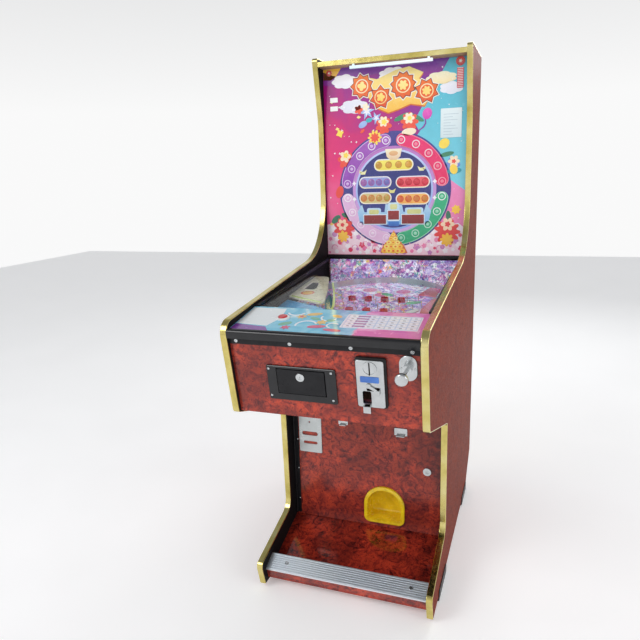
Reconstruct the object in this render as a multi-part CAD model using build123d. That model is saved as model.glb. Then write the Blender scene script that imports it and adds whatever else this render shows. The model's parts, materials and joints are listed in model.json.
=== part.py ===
from build123d import *
import math
import os

# Upright pinball-style pachinko cabinet, built from its separate pieces.
# Millimetres.  X runs to the right, Y runs from front to back, Z is up.
# The design datum is the rear face (Y = 0) on the floor (Z = 0), midway between the sides.
# Each piece is written about the bottom centre of the whole machine's box.

# ---------------------------------------------------------------- driving dimensions
WIDTH = 580
HEIGHT = 1760
SIDE_THICKNESS = 20
SOLE_HEIGHT = 15
BOARD = 18
MOULDING_PROUD = 3
TONGUE_DEPTH = 10
TONGUE_WIDTH = 2.4
PLAY_TILT = 4.5
PLUNGER_TILT = 3
BALL_RADIUS = 8

HALF = WIDTH / 2
INNER = HALF - SIDE_THICKNESS

# Side outline as (Y, Z, corner radius), from the rear foot up and round to the toe.
REAR_FOOT = (0, 123, 0)
REAR_TOP = (0, HEIGHT, 0)
HEAD_TOP = (-320, HEIGHT, 12)
HEAD_BEND = (-268, 1535, 400)
THROAT = (-262, 1049, 225)
NOSE = (-1154, 953.5, 40)
CHIN = (-1101, 673, 15)
ARMPIT = (-762.5, 560, 15)
ANKLE = (-753, 165, 45)
TOE = (-1022, 100, 20)
TOE_SOLE = (-999, SOLE_HEIGHT, 0)
HEEL_SOLE = (-135, SOLE_HEIGHT, 0)
SIDE_OUTLINE = [REAR_FOOT, REAR_TOP, HEAD_TOP, HEAD_BEND, THROAT, NOSE, CHIN, ARMPIT,
                ANKLE, TOE, TOE_SOLE, HEEL_SOLE]
# The rear edge, the sole and the rear chamfer carry no edge moulding.
MOULDED = [False, True, True, True, True, True, True, True, True, True, False, False]

# Front face, measured in its own plane: X across, V up the face, OFF out of it.
FRONT_TILT = math.degrees(math.atan2(CHIN[0] - NOSE[0], NOSE[1] - CHIN[1]))
FRONT_LEAN = math.radians(FRONT_TILT)
PANEL_OFF = -15
PANEL_LOW_V = -2
PANEL_TOP_V = 242
STRIP_LOW_V = 221
STRIP_PROUD = 3
UNDERSIDE_RISE = 14
LOCKBAR_TOP_V = 266.5
FRONT = Plane(
    origin=(0, CHIN[0], CHIN[1]),
    x_dir=(1, 0, 0),
    z_dir=(0, -math.cos(FRONT_LEAN), -math.sin(FRONT_LEAN)),
)
FRONT_OUT = Axis((0, 0, 0), (0, -math.cos(FRONT_LEAN), -math.sin(FRONT_LEAN)))
FRONT_UP = Axis((0, 0, 0), (0, -math.sin(FRONT_LEAN), math.cos(FRONT_LEAN)))

# Coin drawer in its bezel.
BEZEL_X = (-166, 37)
BEZEL_V = (53, 161)
DRAWER_X = (-134.6, 5)
DRAWER_V = (77, 152)
BEZEL_PROUD = 6
DRAWER_PROUD = 8
DRAWER_GAP = 2.4
DRAWER_DEPTH = 205
SLEEVE_WALL = 2
TRAY_WALL = 1.6
TRAY_HEIGHT = 38
DRAWER_STEP = 48
DRAWER_LOCK = (-65, 132)
DRAWER_LOCK_RADIUS = 12.5
DRAWER_LOCK_BARREL = 28
DRAWER_CAM_LENGTH = 26

# Coin entry plate.
COIN_X = (97, 173)
COIN_V = (60, 202)
COIN_PROUD = 12
COIN_SKIN = 4
COIN_CASE_X = (95, 179)
COIN_CASE_V = (58, 208)
COIN_SLOT_X = 134.5
COIN_SLOT_V = (159, 197)
COIN_SLOT_WIDTH = 3.8
LEVER_PIVOT = (130, 128)
RETURN_X = (112, 136)
RETURN_V = (70, 110)
SCOOP_X = (113, 134)
SCOOP_V = (46, 66)
SCOOP_WALL = 3

# Ball plunger.
PLUNGER_X = 236
PLUNGER_V = 184
PLUNGER_Z = 857
KNOB_RADIUS = 16.5
KNOB_LENGTH = 24
PLUNGER_REACH = 80
PLUNGER_PLATE = 7
PLUNGER_PLATE_SIZE = (48, 74)
ROD_RADIUS = 5
ROD_CLEARANCE = 0.08
ROD_LENGTH = 200
COLLAR_OUT = -96
SHOULDER_OUT = -20

# Control apron, glass and playfield.
APRON_FRONT = (-1135, 933)
APRON_REAR = (-954, 961)
APRON_THICKNESS = 6
APRON_LIP = 12
GLASS_REAR = (-250, 1014)
GLASS_THICKNESS = 4
GLASS_HALF = 265.5
BUTTON_X = -144
BUTTON_Y = -1035
BUTTON_CAP_RADIUS = 13.5
BUTTON_RING_RADIUS = 20
PLAY_FRONT_Y = -1080
PLAY_REAR_Y = -264
PLAY_FRONT_Z = PLUNGER_Z - BALL_RADIUS - 0.5 + (PLAY_FRONT_Y + 1136) * math.tan(math.radians(PLAY_TILT))
PLAY_HALF = 262
PLAY_LENGTH = (PLAY_REAR_Y - PLAY_FRONT_Y) / math.cos(math.radians(PLAY_TILT))
LANE_WIDTH = 2 * BALL_RADIUS + 4
LANE_LEFT_X = PLUNGER_X - LANE_WIDTH / 2
GUIDE_WALL = 2
GUIDE_HEIGHT = 22
NOTCH_RUN = 105
TROUGH_RUN = 60
ARCH_RISE = 58
ARCH_PLATE = 5
ARCH_OUTLINE = [(-256, 640), (-205, 652), (-150, 470), (-104, 292), (-256, 366)]
ARCH_OUTLINE_RADII = [4, 34, 120, 12, 8]
ARCH_OPENING = [(-242, 572), (-212, 566), (-190, 452), (-242, 466)]
ARCH_OPENING_RADII = [6, 16, 14, 6]
ARCH_POSTS = [(-232, 612), (-140, 330)]
ARCH_RUN = PLAY_LENGTH - 244
POCKETS = [(x, 560) for x in (-90, -30, 30, 90)] + [(x, 420) for x in (-60, 0, 60)] + [(0, 300)]
POCKET_RADIUS = BALL_RADIUS + 3
PIN_ROWS = 7
PIN_COLUMNS = 9
PIN_PITCH = 40
PIN_ROW_PITCH = 52
PIN_FIRST_RUN = 250
PIN_RADIUS = 1.2
PIN_LENGTH = 20
BALL_COUNT = 10

# Lower door.
DOOR_X = (-264, 266)
DOOR_Z = (110, 533)
DOOR_FACE_Y = -698
DOOR_REAR_Y = DOOR_FACE_Y + BOARD
CUP_X = (-6, 140)
CUP_Z = (126, 269)
CUP_CORNER = 22
CUP_RIM = 12.5
CUP_PROUD = 8
CUP_WALL = 3
CUP_DEPTH = 62
PLATE_X = (-246, -161)
PLATE_Z = (368, 505)
PLATE_THICKNESS = 3
PLATE_HOLE = (-205.6, 484)
PLATE_HOLE_RADIUS = 3.5
PLATE_SLOTS = [(-205, 440, 60, 15), (-203.5, 405, 53, 11)]
DOOR_LOCK = (217, 348)
LOCK_HEAD_RADIUS = 14.5
LOCK_BARREL_RADIUS = 9
LOCK_PLUG_RADIUS = 6
LOCK_CLEARANCE = 0.08
HINGE_RADIUS = 3
HINGE_PIN_RADIUS = 1.5
HINGE_CLEARANCE = 0.08
HINGE_LEAF = 1.2
FRONT_HINGE_AXIS = (-266.2, -701.4)
HINGE_SEGMENTS = 7
FRONT_HINGE_Z = (DOOR_Z[0] + 6, DOOR_Z[1] - 6)
DOOR_LOCK_BARREL = 30
DOOR_CAM_LENGTH = 32
DOOR_TABS = [(-79, 499, 34, 22, 12), (126, 484, 44, 26, 14)]

# Rear door and head.
REAR_DOOR_X = (-262, 266)
REAR_DOOR_Z = (575, 1727)
REAR_DOOR_THICKNESS = 15
REAR_HINGE_AXIS = (-266, 1.2)
REAR_HINGE_RADIUS = 2.8
REAR_HINGE_Z = (REAR_DOOR_Z[0] + 20, REAR_DOOR_Z[1] - 20)
REAR_HINGE_SEGMENTS = 11
REAR_LOCK = (236, 1150)
REAR_LOCK_PLACE = Pos(REAR_LOCK[0], 0, REAR_LOCK[1]) * Rot(-90, 0, 0)
REAR_LOCK_BARREL = 37
REAR_CAM_LENGTH = 24
VENT_X = (-120, 0, 120)
VENT_SIZE = (90, 40, 8)
VENT_Z = (1500, 1522, 1544, 1566, 700, 722, 744)
ART_FACE_Y = -249
ART_THICKNESS = 5
ART_Z = (1027, 1728)
ROOF_Z = (1728, 1746)
RING_CENTRE = (6, 1271)
RING_RADIUS = 188
RING_LAMPS = 24
LAMP_BOARD_Y = -205
TUBE_X = (-147, 154)
TUBE_Z = (1712, 1722)
CLIP_WIDTH = 8

# Pedestal.
DECK_REAR = (-690, 109)
STEP_REAR = (-933, 92)
STEP_NOSE = (-990, 69)
STEP_FOOT = (-979, 34)
STEP_LIP = (-987.8, 62)
RIB_WIDTH = 3
RIB_HEIGHT = 1.4
RIBS = 8
TREAD = 3
HOPPER_CENTRE = (60, -455)
HOPPER_AXIS_TILT = 20
HOPPER_DISC_RADIUS = 75
HOPPER_HEIGHT = 166
HOPPER_HOLES = 8
BASE_TOP = 60 + BOARD
INLET_X = (-190, -140)
INLET_Z = (134, 166)
FIN_COUNT = 12
FIN_START_X = -236
FIN_PITCH = 12
FIN_WIDTH = 4

# Screw heads, each as (radius, height), and where they sit.
TREAD_SCREW = (6.5, 1.8)
TREAD_SCREW_X = (-205, 215)
STRIP_SCREW = (5.5, 2)
STRIP_SCREW_X = (-248, -86, 86, 248)
STRIP_SCREW_V = 231
BEZEL_SCREW = (3.6, 1.4)
BEZEL_SCREW_X = (-158.5, 25.3)
BEZEL_SCREW_V = (66, 151.5)
PLUNGER_SCREW = (3.4, 1.4)
PLUNGER_SCREW_REACH = 18

KNOB_FRONT_Y = CHIN[0] - (PLUNGER_Z - CHIN[1]) * math.tan(FRONT_LEAN) - PLUNGER_REACH
KNUCKLE_REAR_Y = REAR_HINGE_AXIS[1] + REAR_HINGE_RADIUS
TO_ROW = Pos(0, -(KNOB_FRONT_Y + KNUCKLE_REAR_Y) / 2, 0)


# ---------------------------------------------------------------- shape helpers
def block(x, y, z):
    """Box between two limits on each axis."""
    size = Box(x[1] - x[0], y[1] - y[0], z[1] - z[0])
    return Pos((x[0] + x[1]) / 2, (y[0] + y[1]) / 2, (z[0] + z[1]) / 2) * size


def grown(span, margin):
    """Span made longer by a margin at each end."""
    return (span[0] - margin, span[1] + margin)


def inset_outline(corners, insets):
    """Face whose straight sides are each moved inwards, with its corners rounded."""
    count = len(corners)
    points = []
    radii = []
    for index, (u, v, radius) in enumerate(corners):
        before = corners[index - 1]
        after = corners[(index + 1) % count]
        inset_in = insets[index - 1]
        inset_out = insets[index]
        enter = Vector(u - before[0], v - before[1]).normalized()
        leave = Vector(after[0] - u, after[1] - v).normalized()
        turn = enter.X * leave.Y - enter.Y * leave.X
        # Corner shift that meets both moved sides.
        shift_u = (inset_in * leave.X - inset_out * enter.X) / turn
        shift_v = (inset_in * leave.Y - inset_out * enter.Y) / turn
        points.append((u + shift_u, v + shift_v))
        moved = (inset_in + inset_out) / 2
        radii.append(max(radius - moved * math.copysign(1, turn), 0) if radius else 0)
    return make_face(FilletPolyline(*points, radius=radii, close=True))


def side_profile(inset):
    """Cabinet side outline with its moulded edges moved inwards."""
    return inset_outline(SIDE_OUTLINE, [inset if moulded else 0 for moulded in MOULDED])


def across(face, x_low, x_high):
    """Side-view face extruded across the machine."""
    return extrude(Plane.YZ.offset(x_low) * face, amount=x_high - x_low)


def side_polygon(*points):
    """Closed side-view polygon from (Y, Z) corners."""
    return make_face(Polyline(*points, close=True))


def slope_length(front, rear):
    """Length of a sloping side-view line."""
    return math.hypot(rear[0] - front[0], rear[1] - front[1])


def slope_plane(front, rear):
    """Plane on a sloping board's top face, with its origin at the front edge."""
    lean = math.atan2(rear[1] - front[1], rear[0] - front[0])
    return Plane(
        origin=(0, front[0], front[1]),
        x_dir=(1, 0, 0),
        z_dir=(0, -math.sin(lean), math.cos(lean)),
    )


def on_front(x, v, off=0):
    """Place on the front face, with local Z pointing out of it."""
    return FRONT.location * Pos(x, v, off)


def on_door(x, z, off=0):
    """Place on the lower door's face, with local Z pointing out of it."""
    return Plane.XZ.location * Pos(x, z, -DOOR_FACE_Y + off)


def front_slab(x, v, off):
    """Plate in the front face's own directions."""
    return FRONT.location * block(x, v, off)


def rounded_plate(x, v, thickness, radius):
    """Plate with rounded corners, standing on local Z = 0."""
    outline = Pos((x[0] + x[1]) / 2, (v[0] + v[1]) / 2) * RectangleRounded(x[1] - x[0], v[1] - v[0], radius)
    return extrude(outline, amount=thickness)


def pan_screw(radius, height):
    """Domed screw head with a cross recess, standing on local Z = 0."""
    head = extrude(Circle(radius), amount=height)
    head = fillet(head.edges().group_by(Axis.Z)[-1], height * 0.6)
    slot = Pos(0, 0, height) * Box(radius * 1.1, radius * 0.26, height)
    return head - slot - Rot(0, 0, 90) * slot


def lever_lock_body(head_radius, head_height, barrel_length):
    """Cam lock cylinder with its head proud of local Z = 0, and its barrel behind."""
    head = extrude(Circle(head_radius), amount=head_height)
    head = fillet(head.edges().group_by(Axis.Z)[-1], head_height * 0.35)
    barrel = extrude(Circle(LOCK_BARREL_RADIUS), amount=-barrel_length)
    bore = Pos(0, 0, -barrel_length) * extrude(
        Circle(LOCK_PLUG_RADIUS + LOCK_CLEARANCE), amount=barrel_length + head_height
    )
    return head + barrel - bore


def lever_lock_plug(head_height, barrel_length, cam_length, cam_angle):
    """Key plug with the cam on its inner end, turned to cam_angle about local Z."""
    plug = extrude(Circle(LOCK_PLUG_RADIUS), amount=head_height)
    plug += extrude(Circle(LOCK_PLUG_RADIUS), amount=-barrel_length - 0.3)
    key_slot = Pos(0, 0, head_height) * Box(1.6, 7, 6)
    cam_face = Pos((cam_length - 7) / 2, 0) * RectangleRounded(cam_length + 7, 14, 6.9)
    cam = Rot(0, 0, cam_angle) * Pos(0, 0, -barrel_length - 2.3) * extrude(cam_face, amount=2)
    return plug - key_slot + cam


def hinge_leaf(plate, axis, radius, own, other, bore, z_span):
    """Hinge leaf with its own knuckles, notched round the other leaf's knuckles."""
    leaf = plate
    for low, high in other:
        leaf -= Pos(axis[0], axis[1], low - 0.4) * extrude(Circle(radius + 0.35), amount=high - low + 0.8)
    for low, high in own:
        leaf += Pos(axis[0], axis[1], low) * extrude(Circle(radius), amount=high - low)
    shaft = Pos(axis[0], axis[1], z_span[0] - 1) * extrude(Circle(bore), amount=z_span[1] - z_span[0] + 2)
    return leaf - shaft


def hinge_spans(z_span, count):
    """Alternate knuckle spans along a hinge, with a small gap between neighbours."""
    pitch = (z_span[1] - z_span[0]) / count
    spans = [(z_span[0] + pitch * i + 0.4, z_span[0] + pitch * (i + 1) - 0.4) for i in range(count)]
    return spans[0::2], spans[1::2]


def mirrored(shape):
    """The same piece on the other side of the machine."""
    return mirror(shape, about=Plane.YZ)


# ---------------------------------------------------------------- cabinet shell
def side_panel_right():
    panel = across(side_profile(MOULDING_PROUD), INNER, HALF)
    middle = (INNER + HALF) / 2
    groove = side_profile(MOULDING_PROUD) - side_profile(MOULDING_PROUD + TONGUE_DEPTH)
    return panel - across(groove, middle - TONGUE_WIDTH / 2, middle + TONGUE_WIDTH / 2)


def edge_moulding_right():
    """T-shaped edge strip: a rounded cap on the panel's edge and a tongue in its groove."""
    middle = (INNER + HALF) / 2
    cap = across(side_profile(0) - side_profile(MOULDING_PROUD), INNER, HALF)
    outline = side_profile(0)
    crest = []
    for x in (INNER, HALF):
        path = (Plane.YZ.offset(x) * outline).wire()
        crest += [edge for edge in cap.edges() if path.distance_to(edge @ 0.5) < 0.01]
    cap = fillet(crest, MOULDING_PROUD * 0.6)
    tongue = side_profile(MOULDING_PROUD) - side_profile(MOULDING_PROUD + TONGUE_DEPTH)
    return cap + across(tongue, middle - TONGUE_WIDTH / 2, middle + TONGUE_WIDTH / 2)


def glide_foot(y_low, y_high):
    """Moulded glide under the right-hand side panel, with a flange up its outer face."""
    sole = block((INNER - 8, HALF + 3), (y_low, y_high), (0, SOLE_HEIGHT))
    sole = fillet(sole.edges().filter_by(Axis.Z), 6)
    sole = chamfer(sole.faces().sort_by(Axis.Z)[0].edges(), 2)
    flange = block((HALF, HALF + 3), (y_low + 6, y_high - 6), (SOLE_HEIGHT, SOLE_HEIGHT + 20))
    flange = fillet(flange.edges().filter_by(Axis.X).group_by(Axis.Z)[-1], 6)
    return sole + flange


def glide_feet():
    rear = glide_foot(-290, -138)
    front = glide_foot(-895, -730)
    return Compound([rear, front, mirrored(rear), mirrored(front)])


def base_board():
    return block((-INNER, INNER), (DOOR_REAR_Y + 8, -40), (BASE_TOP - BOARD, BASE_TOP))


def toe_deck():
    """Sloping laminated deck in front of the door."""
    slope = (DECK_REAR[1] - 45) / (DECK_REAR[0] - STEP_REAR[0])
    front_z = DECK_REAR[1] - slope * (DECK_REAR[0] - STEP_REAR[0])
    return across(
        side_polygon(
            DECK_REAR,
            (DECK_REAR[0], DECK_REAR[1] - BOARD),
            (STEP_REAR[0], front_z - BOARD + 6),
            (STEP_REAR[0], front_z),
        ),
        -INNER,
        INNER,
    )


def kick_board():
    """Timber beam under the tread plate."""
    return across(
        side_polygon(
            (STEP_REAR[0], STEP_FOOT[1] - 8),
            (STEP_REAR[0], STEP_REAR[1] - TREAD),
            (STEP_NOSE[0] + TREAD, STEP_NOSE[1] - TREAD * 0.7),
            (STEP_LIP[0] + TREAD, STEP_LIP[1]),
            (STEP_FOOT[0] + TREAD, STEP_FOOT[1]),
            (STEP_FOOT[0] + TREAD, STEP_FOOT[1] - 8),
        ),
        -INNER,
        INNER,
    )


def step_plate():
    """Ribbed tread plate with a short lip folded down over the beam's front."""
    sheet = across(
        side_polygon(
            (STEP_REAR[0], STEP_REAR[1] - TREAD),
            STEP_REAR,
            STEP_NOSE,
            STEP_LIP,
            (STEP_LIP[0] + TREAD, STEP_LIP[1]),
            (STEP_NOSE[0] + TREAD, STEP_NOSE[1] - TREAD * 0.7),
        ),
        -INNER,
        INNER,
    )
    run_y = STEP_NOSE[0] - STEP_REAR[0]
    run_z = STEP_NOSE[1] - STEP_REAR[1]
    lean = math.degrees(math.atan2(run_z, run_y))
    for index in range(RIBS):
        share = (index + 0.5) / RIBS
        place = Pos(STEP_REAR[0] + run_y * share, STEP_REAR[1] + run_z * share) * Rot(0, 0, lean)
        sheet += across(place * Rectangle(RIB_WIDTH, 2 * RIB_HEIGHT), -INNER + 4, INNER - 4)
    return sheet


def step_screws():
    """Two tread screws, flat on the ribbed plate."""
    tread = slope_plane(STEP_NOSE, STEP_REAR)
    middle = slope_length(STEP_NOSE, STEP_REAR) / 2
    return [tread.location * Pos(x, middle, RIB_HEIGHT) * pan_screw(*TREAD_SCREW) for x in TREAD_SCREW_X]


def underside_board():
    """Sloping board under the playfield box, from the front panel back to the door."""
    slope = (CHIN[1] - ARMPIT[1]) / (ARMPIT[0] - CHIN[0])
    rear_y = DOOR_FACE_Y + 8
    front_y = CHIN[0] - PANEL_OFF + BOARD + 2
    front_z = CHIN[1] - slope * (front_y - CHIN[0]) + UNDERSIDE_RISE
    rear_z = CHIN[1] - slope * (rear_y - CHIN[0]) + UNDERSIDE_RISE
    return across(
        side_polygon(
            (front_y, front_z),
            (rear_y, rear_z),
            (rear_y, rear_z + BOARD),
            (front_y, front_z + BOARD),
        ),
        -INNER,
        INNER,
    )


def roof_board():
    return block((-INNER, INNER), (-309, -REAR_DOOR_THICKNESS - 3), ROOF_Z)


def header_moulding():
    """Metallic strip on the roof board's front edge."""
    strip = block((-INNER, INNER), (-312, -309), ROOF_Z)
    strip = fillet(strip.edges().filter_by(Axis.X).group_by(Axis.Y)[0], 1.4)
    return strip


def back_panels():
    """Fixed lower back board, its angled foot and the batten behind the rear door's lock."""
    lower = block((-INNER, INNER), (-BOARD, 0), (REAR_FOOT[1] + 2, REAR_DOOR_Z[0] - 4))
    lower -= block((INLET_X[0] - 2, INLET_X[1] + 2), (-60, 20), (INLET_Z[0] - 2, INLET_Z[1] + 2))
    batten_z = (REAR_DOOR_Z[0] + 5, ROOF_Z[0] - 1)
    batten = block((INNER - BOARD, INNER), (-35, -REAR_DOOR_THICKNESS - 2), batten_z)
    return Compound([lower, batten])


# ---------------------------------------------------------------- front of the playfield box
def front_panel():
    """Laminated front board with its cut-outs."""
    board = front_slab((-INNER, INNER), (PANEL_LOW_V, PANEL_TOP_V), (PANEL_OFF - BOARD, PANEL_OFF))
    gap = SLEEVE_WALL + DRAWER_GAP
    board -= front_slab(grown(DRAWER_X, gap), grown(DRAWER_V, gap), (-60, 10))
    board -= front_slab(grown(COIN_X, -10), (COIN_V[0] + 6, COIN_V[1] - 8), (-60, 10))
    board -= plunger_place(0) * Cylinder(13, 90)
    return board


def screw_strip():
    return front_slab((-INNER, INNER), (STRIP_LOW_V, PANEL_TOP_V), (PANEL_OFF, PANEL_OFF + STRIP_PROUD))


def front_moulding():
    """Rounded lock-down bar across the front's top edge."""
    bar = front_slab((-INNER, INNER), (PANEL_TOP_V, LOCKBAR_TOP_V), (PANEL_OFF, 0))
    return fillet(bar.edges().filter_by(Axis.X).group_by(Axis.Y)[0], 9)


def apron_panel():
    """Printed control apron with its button hole."""
    plane = slope_plane(APRON_FRONT, APRON_REAR)
    length = slope_length(APRON_FRONT, APRON_REAR)
    board = plane.location * block((-INNER, INNER), (1.5, length), (-APRON_THICKNESS, 0))
    board -= button_place() * Cylinder(BUTTON_RING_RADIUS - 4, 60)
    lip_rise = (-APRON_THICKNESS - APRON_LIP, -APRON_THICKNESS)
    lip = plane.location * block((-INNER, INNER), (length - APRON_LIP, length), lip_rise)
    return board + lip


def button_place():
    """Start button's axis on the apron, with local Z pointing out."""
    plane = slope_plane(APRON_FRONT, APRON_REAR)
    run = (BUTTON_Y - APRON_FRONT[0]) / (APRON_REAR[0] - APRON_FRONT[0])
    return plane.location * Pos(BUTTON_X, run * slope_length(APRON_FRONT, APRON_REAR), 0)


def button_bezel():
    """White collar with its threaded barrel below the apron."""
    ring = extrude(Circle(BUTTON_RING_RADIUS), amount=5)
    ring = fillet(ring.edges().group_by(Axis.Z)[-1], 2.2)
    barrel = Pos(0, 0, -30) * extrude(Circle(BUTTON_RING_RADIUS - 4), amount=30)
    bore = Pos(0, 0, -26) * extrude(Circle(BUTTON_CAP_RADIUS + 0.35), amount=40)
    stem_hole = Pos(0, 0, -40) * extrude(Circle(3.4), amount=20)
    return button_place() * (ring + barrel - bore - stem_hole)


def button_cap():
    """Domed cap that stands proud of its collar, with a stem through the barrel's floor."""
    cap = Pos(0, 0, -16) * extrude(Circle(BUTTON_CAP_RADIUS), amount=24)
    cap = fillet(cap.edges().group_by(Axis.Z)[-1], 3)
    stem = Pos(0, 0, -34) * extrude(Circle(3), amount=20)
    return button_place() * (cap + stem)


# ---------------------------------------------------------------- coin drawer
def coin_box_bezel():
    """Proud frame round the drawer, with the sheet sleeve that the drawer slides in."""
    low = PANEL_OFF
    frame = on_front(0, 0, low) * rounded_plate(BEZEL_X, BEZEL_V, BEZEL_PROUD, 4)
    frame = chamfer(frame.faces().sort_by(FRONT_OUT)[-1].edges(), 1.6)
    hole_x = grown(DRAWER_X, DRAWER_GAP)
    hole_v = grown(DRAWER_V, DRAWER_GAP)
    step = low - DRAWER_STEP
    end = low - DRAWER_DEPTH
    low_v = (hole_v[0], DRAWER_V[0] + TRAY_HEIGHT + DRAWER_GAP)
    outer_x = grown(hole_x, SLEEVE_WALL)
    sleeve = front_slab(outer_x, grown(hole_v, SLEEVE_WALL), (step - SLEEVE_WALL, low))
    sleeve += front_slab(outer_x, grown(low_v, SLEEVE_WALL), (end - 12, low))
    hollow = front_slab(hole_x, hole_v, (step, low + 30))
    hollow += front_slab(hole_x, low_v, (end - 10, low))
    cam_slot = front_slab(
        (DRAWER_LOCK[0] - 34, DRAWER_LOCK[0] + 34),
        (hole_v[1] - 2, hole_v[1] + 8),
        (low - 36, low - 18),
    )
    return frame + sleeve - hollow - cam_slot


def coin_drawer():
    """Drawer front with its open-topped tray behind it."""
    face_off = PANEL_OFF + DRAWER_PROUD
    face = on_front(0, 0, face_off - 10) * rounded_plate(DRAWER_X, DRAWER_V, 10, 3)
    face = fillet(face.faces().sort_by(FRONT_OUT)[-1].edges(), 1.2)
    tray_x = (DRAWER_X[0] + 1, DRAWER_X[1] - 1)
    tray_v = (DRAWER_V[0] + 1, DRAWER_V[0] + TRAY_HEIGHT)
    rear = PANEL_OFF - DRAWER_DEPTH
    tray = front_slab(tray_x, tray_v, (rear, face_off - 10))
    tray -= front_slab(
        grown(tray_x, -TRAY_WALL),
        (tray_v[0] + TRAY_WALL, tray_v[1] + 20),
        (rear + TRAY_WALL, face_off - 10),
    )
    hole = on_front(*DRAWER_LOCK, face_off) * Cylinder(LOCK_BARREL_RADIUS, 60)
    return face + tray - hole


def drawer_lock_body():
    place = on_front(*DRAWER_LOCK, PANEL_OFF + DRAWER_PROUD)
    return place * lever_lock_body(DRAWER_LOCK_RADIUS, 3, DRAWER_LOCK_BARREL)


def drawer_lock_plug():
    """Rest is unlocked, with the cam level.  A quarter turn lifts it behind the sleeve."""
    place = on_front(*DRAWER_LOCK, PANEL_OFF + DRAWER_PROUD)
    return place * lever_lock_plug(2.2, DRAWER_LOCK_BARREL, DRAWER_CAM_LENGTH, 0)


# ---------------------------------------------------------------- coin entry
def coin_openings():
    """The coin slot, the lever's slot and pivot hole, and the return pocket, as one cutter."""
    slot_x = (COIN_SLOT_X - COIN_SLOT_WIDTH / 2, COIN_SLOT_X + COIN_SLOT_WIDTH / 2)
    cutter = front_slab(slot_x, COIN_SLOT_V, (-40, 20))
    cutter += on_front(0, 0, -60) * rounded_plate(RETURN_X, RETURN_V, 80, 5)
    cutter += on_front(0, 0, -40) * rounded_plate(
        (LEVER_PIVOT[0] - 6, LEVER_PIVOT[0] + 30), (LEVER_PIVOT[1] - 17, LEVER_PIVOT[1] - 5), 60, 3
    )
    return cutter + on_front(*LEVER_PIVOT, 0) * Cylinder(3 + LOCK_CLEARANCE, 80)


def coin_plate():
    """Cast coin entry plate with its slot ring and the return scoop under it."""
    face = PANEL_OFF + COIN_PROUD
    body = on_front(0, 0, face - COIN_SKIN) * rounded_plate(COIN_X, COIN_V, COIN_SKIN, 7)
    body = fillet(body.faces().sort_by(FRONT_OUT)[-1].edges(), 2)
    ring_v = (COIN_SLOT_V[0] + COIN_SLOT_V[1]) / 2
    body += on_front(COIN_SLOT_X, ring_v, face) * (Cylinder(20.5, 4) - Cylinder(16.5, 6))
    return body - coin_openings() + return_scoop()


def return_scoop():
    """Bright cup that hangs below the plate under the return pocket."""
    face = PANEL_OFF + COIN_PROUD
    lip = front_slab(SCOOP_X, SCOOP_V, (face - COIN_SKIN, face + 9))
    lip = fillet(lip.edges().filter_by(FRONT_UP), 1.8)
    hollow = front_slab(
        (SCOOP_X[0] + SCOOP_WALL, SCOOP_X[1] - SCOOP_WALL),
        (SCOOP_V[0] + SCOOP_WALL, SCOOP_V[1] + 20),
        (face - 1, face + 9 - SCOOP_WALL),
    )
    return lip - hollow


def coin_mech_body():
    """Black moulded case: a flange under the plate, and the coin chute through the front board."""
    rear = PANEL_OFF - BOARD
    flange = on_front(0, 0, PANEL_OFF) * rounded_plate(COIN_CASE_X, COIN_CASE_V, COIN_PROUD - COIN_SKIN, 7)
    chute = front_slab(grown(COIN_X, -18), (COIN_V[0] + 60, COIN_V[1] - 10), (rear - 14, PANEL_OFF))
    slot_x = (COIN_SLOT_X - COIN_SLOT_WIDTH / 2, COIN_SLOT_X + COIN_SLOT_WIDTH / 2)
    path = front_slab(slot_x, (COIN_V[0] + 50, COIN_V[1] - 14), (rear - 12, rear + 6))
    return flange + chute - path - coin_openings()


def coin_reject_lever():
    """Small thumb lever on a pivot pin through the plate."""
    face = PANEL_OFF + COIN_PROUD
    hub = on_front(*LEVER_PIVOT, face + 0.3) * extrude(Circle(6.5), amount=5)
    arm_face = Pos(14, -9) * Rot(0, 0, -30) * RectangleRounded(34, 8, 3.9)
    arm = on_front(*LEVER_PIVOT, face + 0.8) * extrude(arm_face, amount=4)
    tip_face = Pos(26, -18) * RectangleRounded(9, 16, 3)
    tip = on_front(*LEVER_PIVOT, face + 0.8) * extrude(tip_face, amount=8)
    pin = on_front(*LEVER_PIVOT, PANEL_OFF - 8) * extrude(Circle(3), amount=COIN_PROUD + 10)
    return hub + arm + tip + pin


# ---------------------------------------------------------------- plunger
def plunger_place(out):
    """Point on the plunger's axis, with local Z pointing out of the machine."""
    lean = math.radians(PLUNGER_TILT)
    face_y = CHIN[0] - (PLUNGER_Z - CHIN[1]) * math.tan(FRONT_LEAN)
    axis = Plane(
        origin=(PLUNGER_X, face_y, PLUNGER_Z), x_dir=(1, 0, 0), z_dir=(0, -math.cos(lean), -math.sin(lean))
    )
    return axis.location * Pos(0, 0, out)


def plunger_housing():
    """Oval faceplate with a guide sleeve through the front board."""
    outline = RectangleRounded(PLUNGER_PLATE_SIZE[0], PLUNGER_PLATE_SIZE[1], PLUNGER_PLATE_SIZE[0] / 2 - 0.1)
    plate = on_front(PLUNGER_X, PLUNGER_V, PANEL_OFF) * extrude(outline, amount=PLUNGER_PLATE)
    plate = fillet(plate.faces().sort_by(FRONT_OUT)[-1].edges(), 2.5)
    boss = plunger_place(-12) * extrude(Circle(12.5), amount=22)
    sleeve = plunger_place(-70) * extrude(Circle(11), amount=62)
    bore = plunger_place(-100) * extrude(Circle(ROD_RADIUS + ROD_CLEARANCE), amount=130)
    spring_room = plunger_place(-100) * extrude(Circle(9), amount=100 + SHOULDER_OUT)
    return plate + boss + sleeve - bore - spring_room


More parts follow.
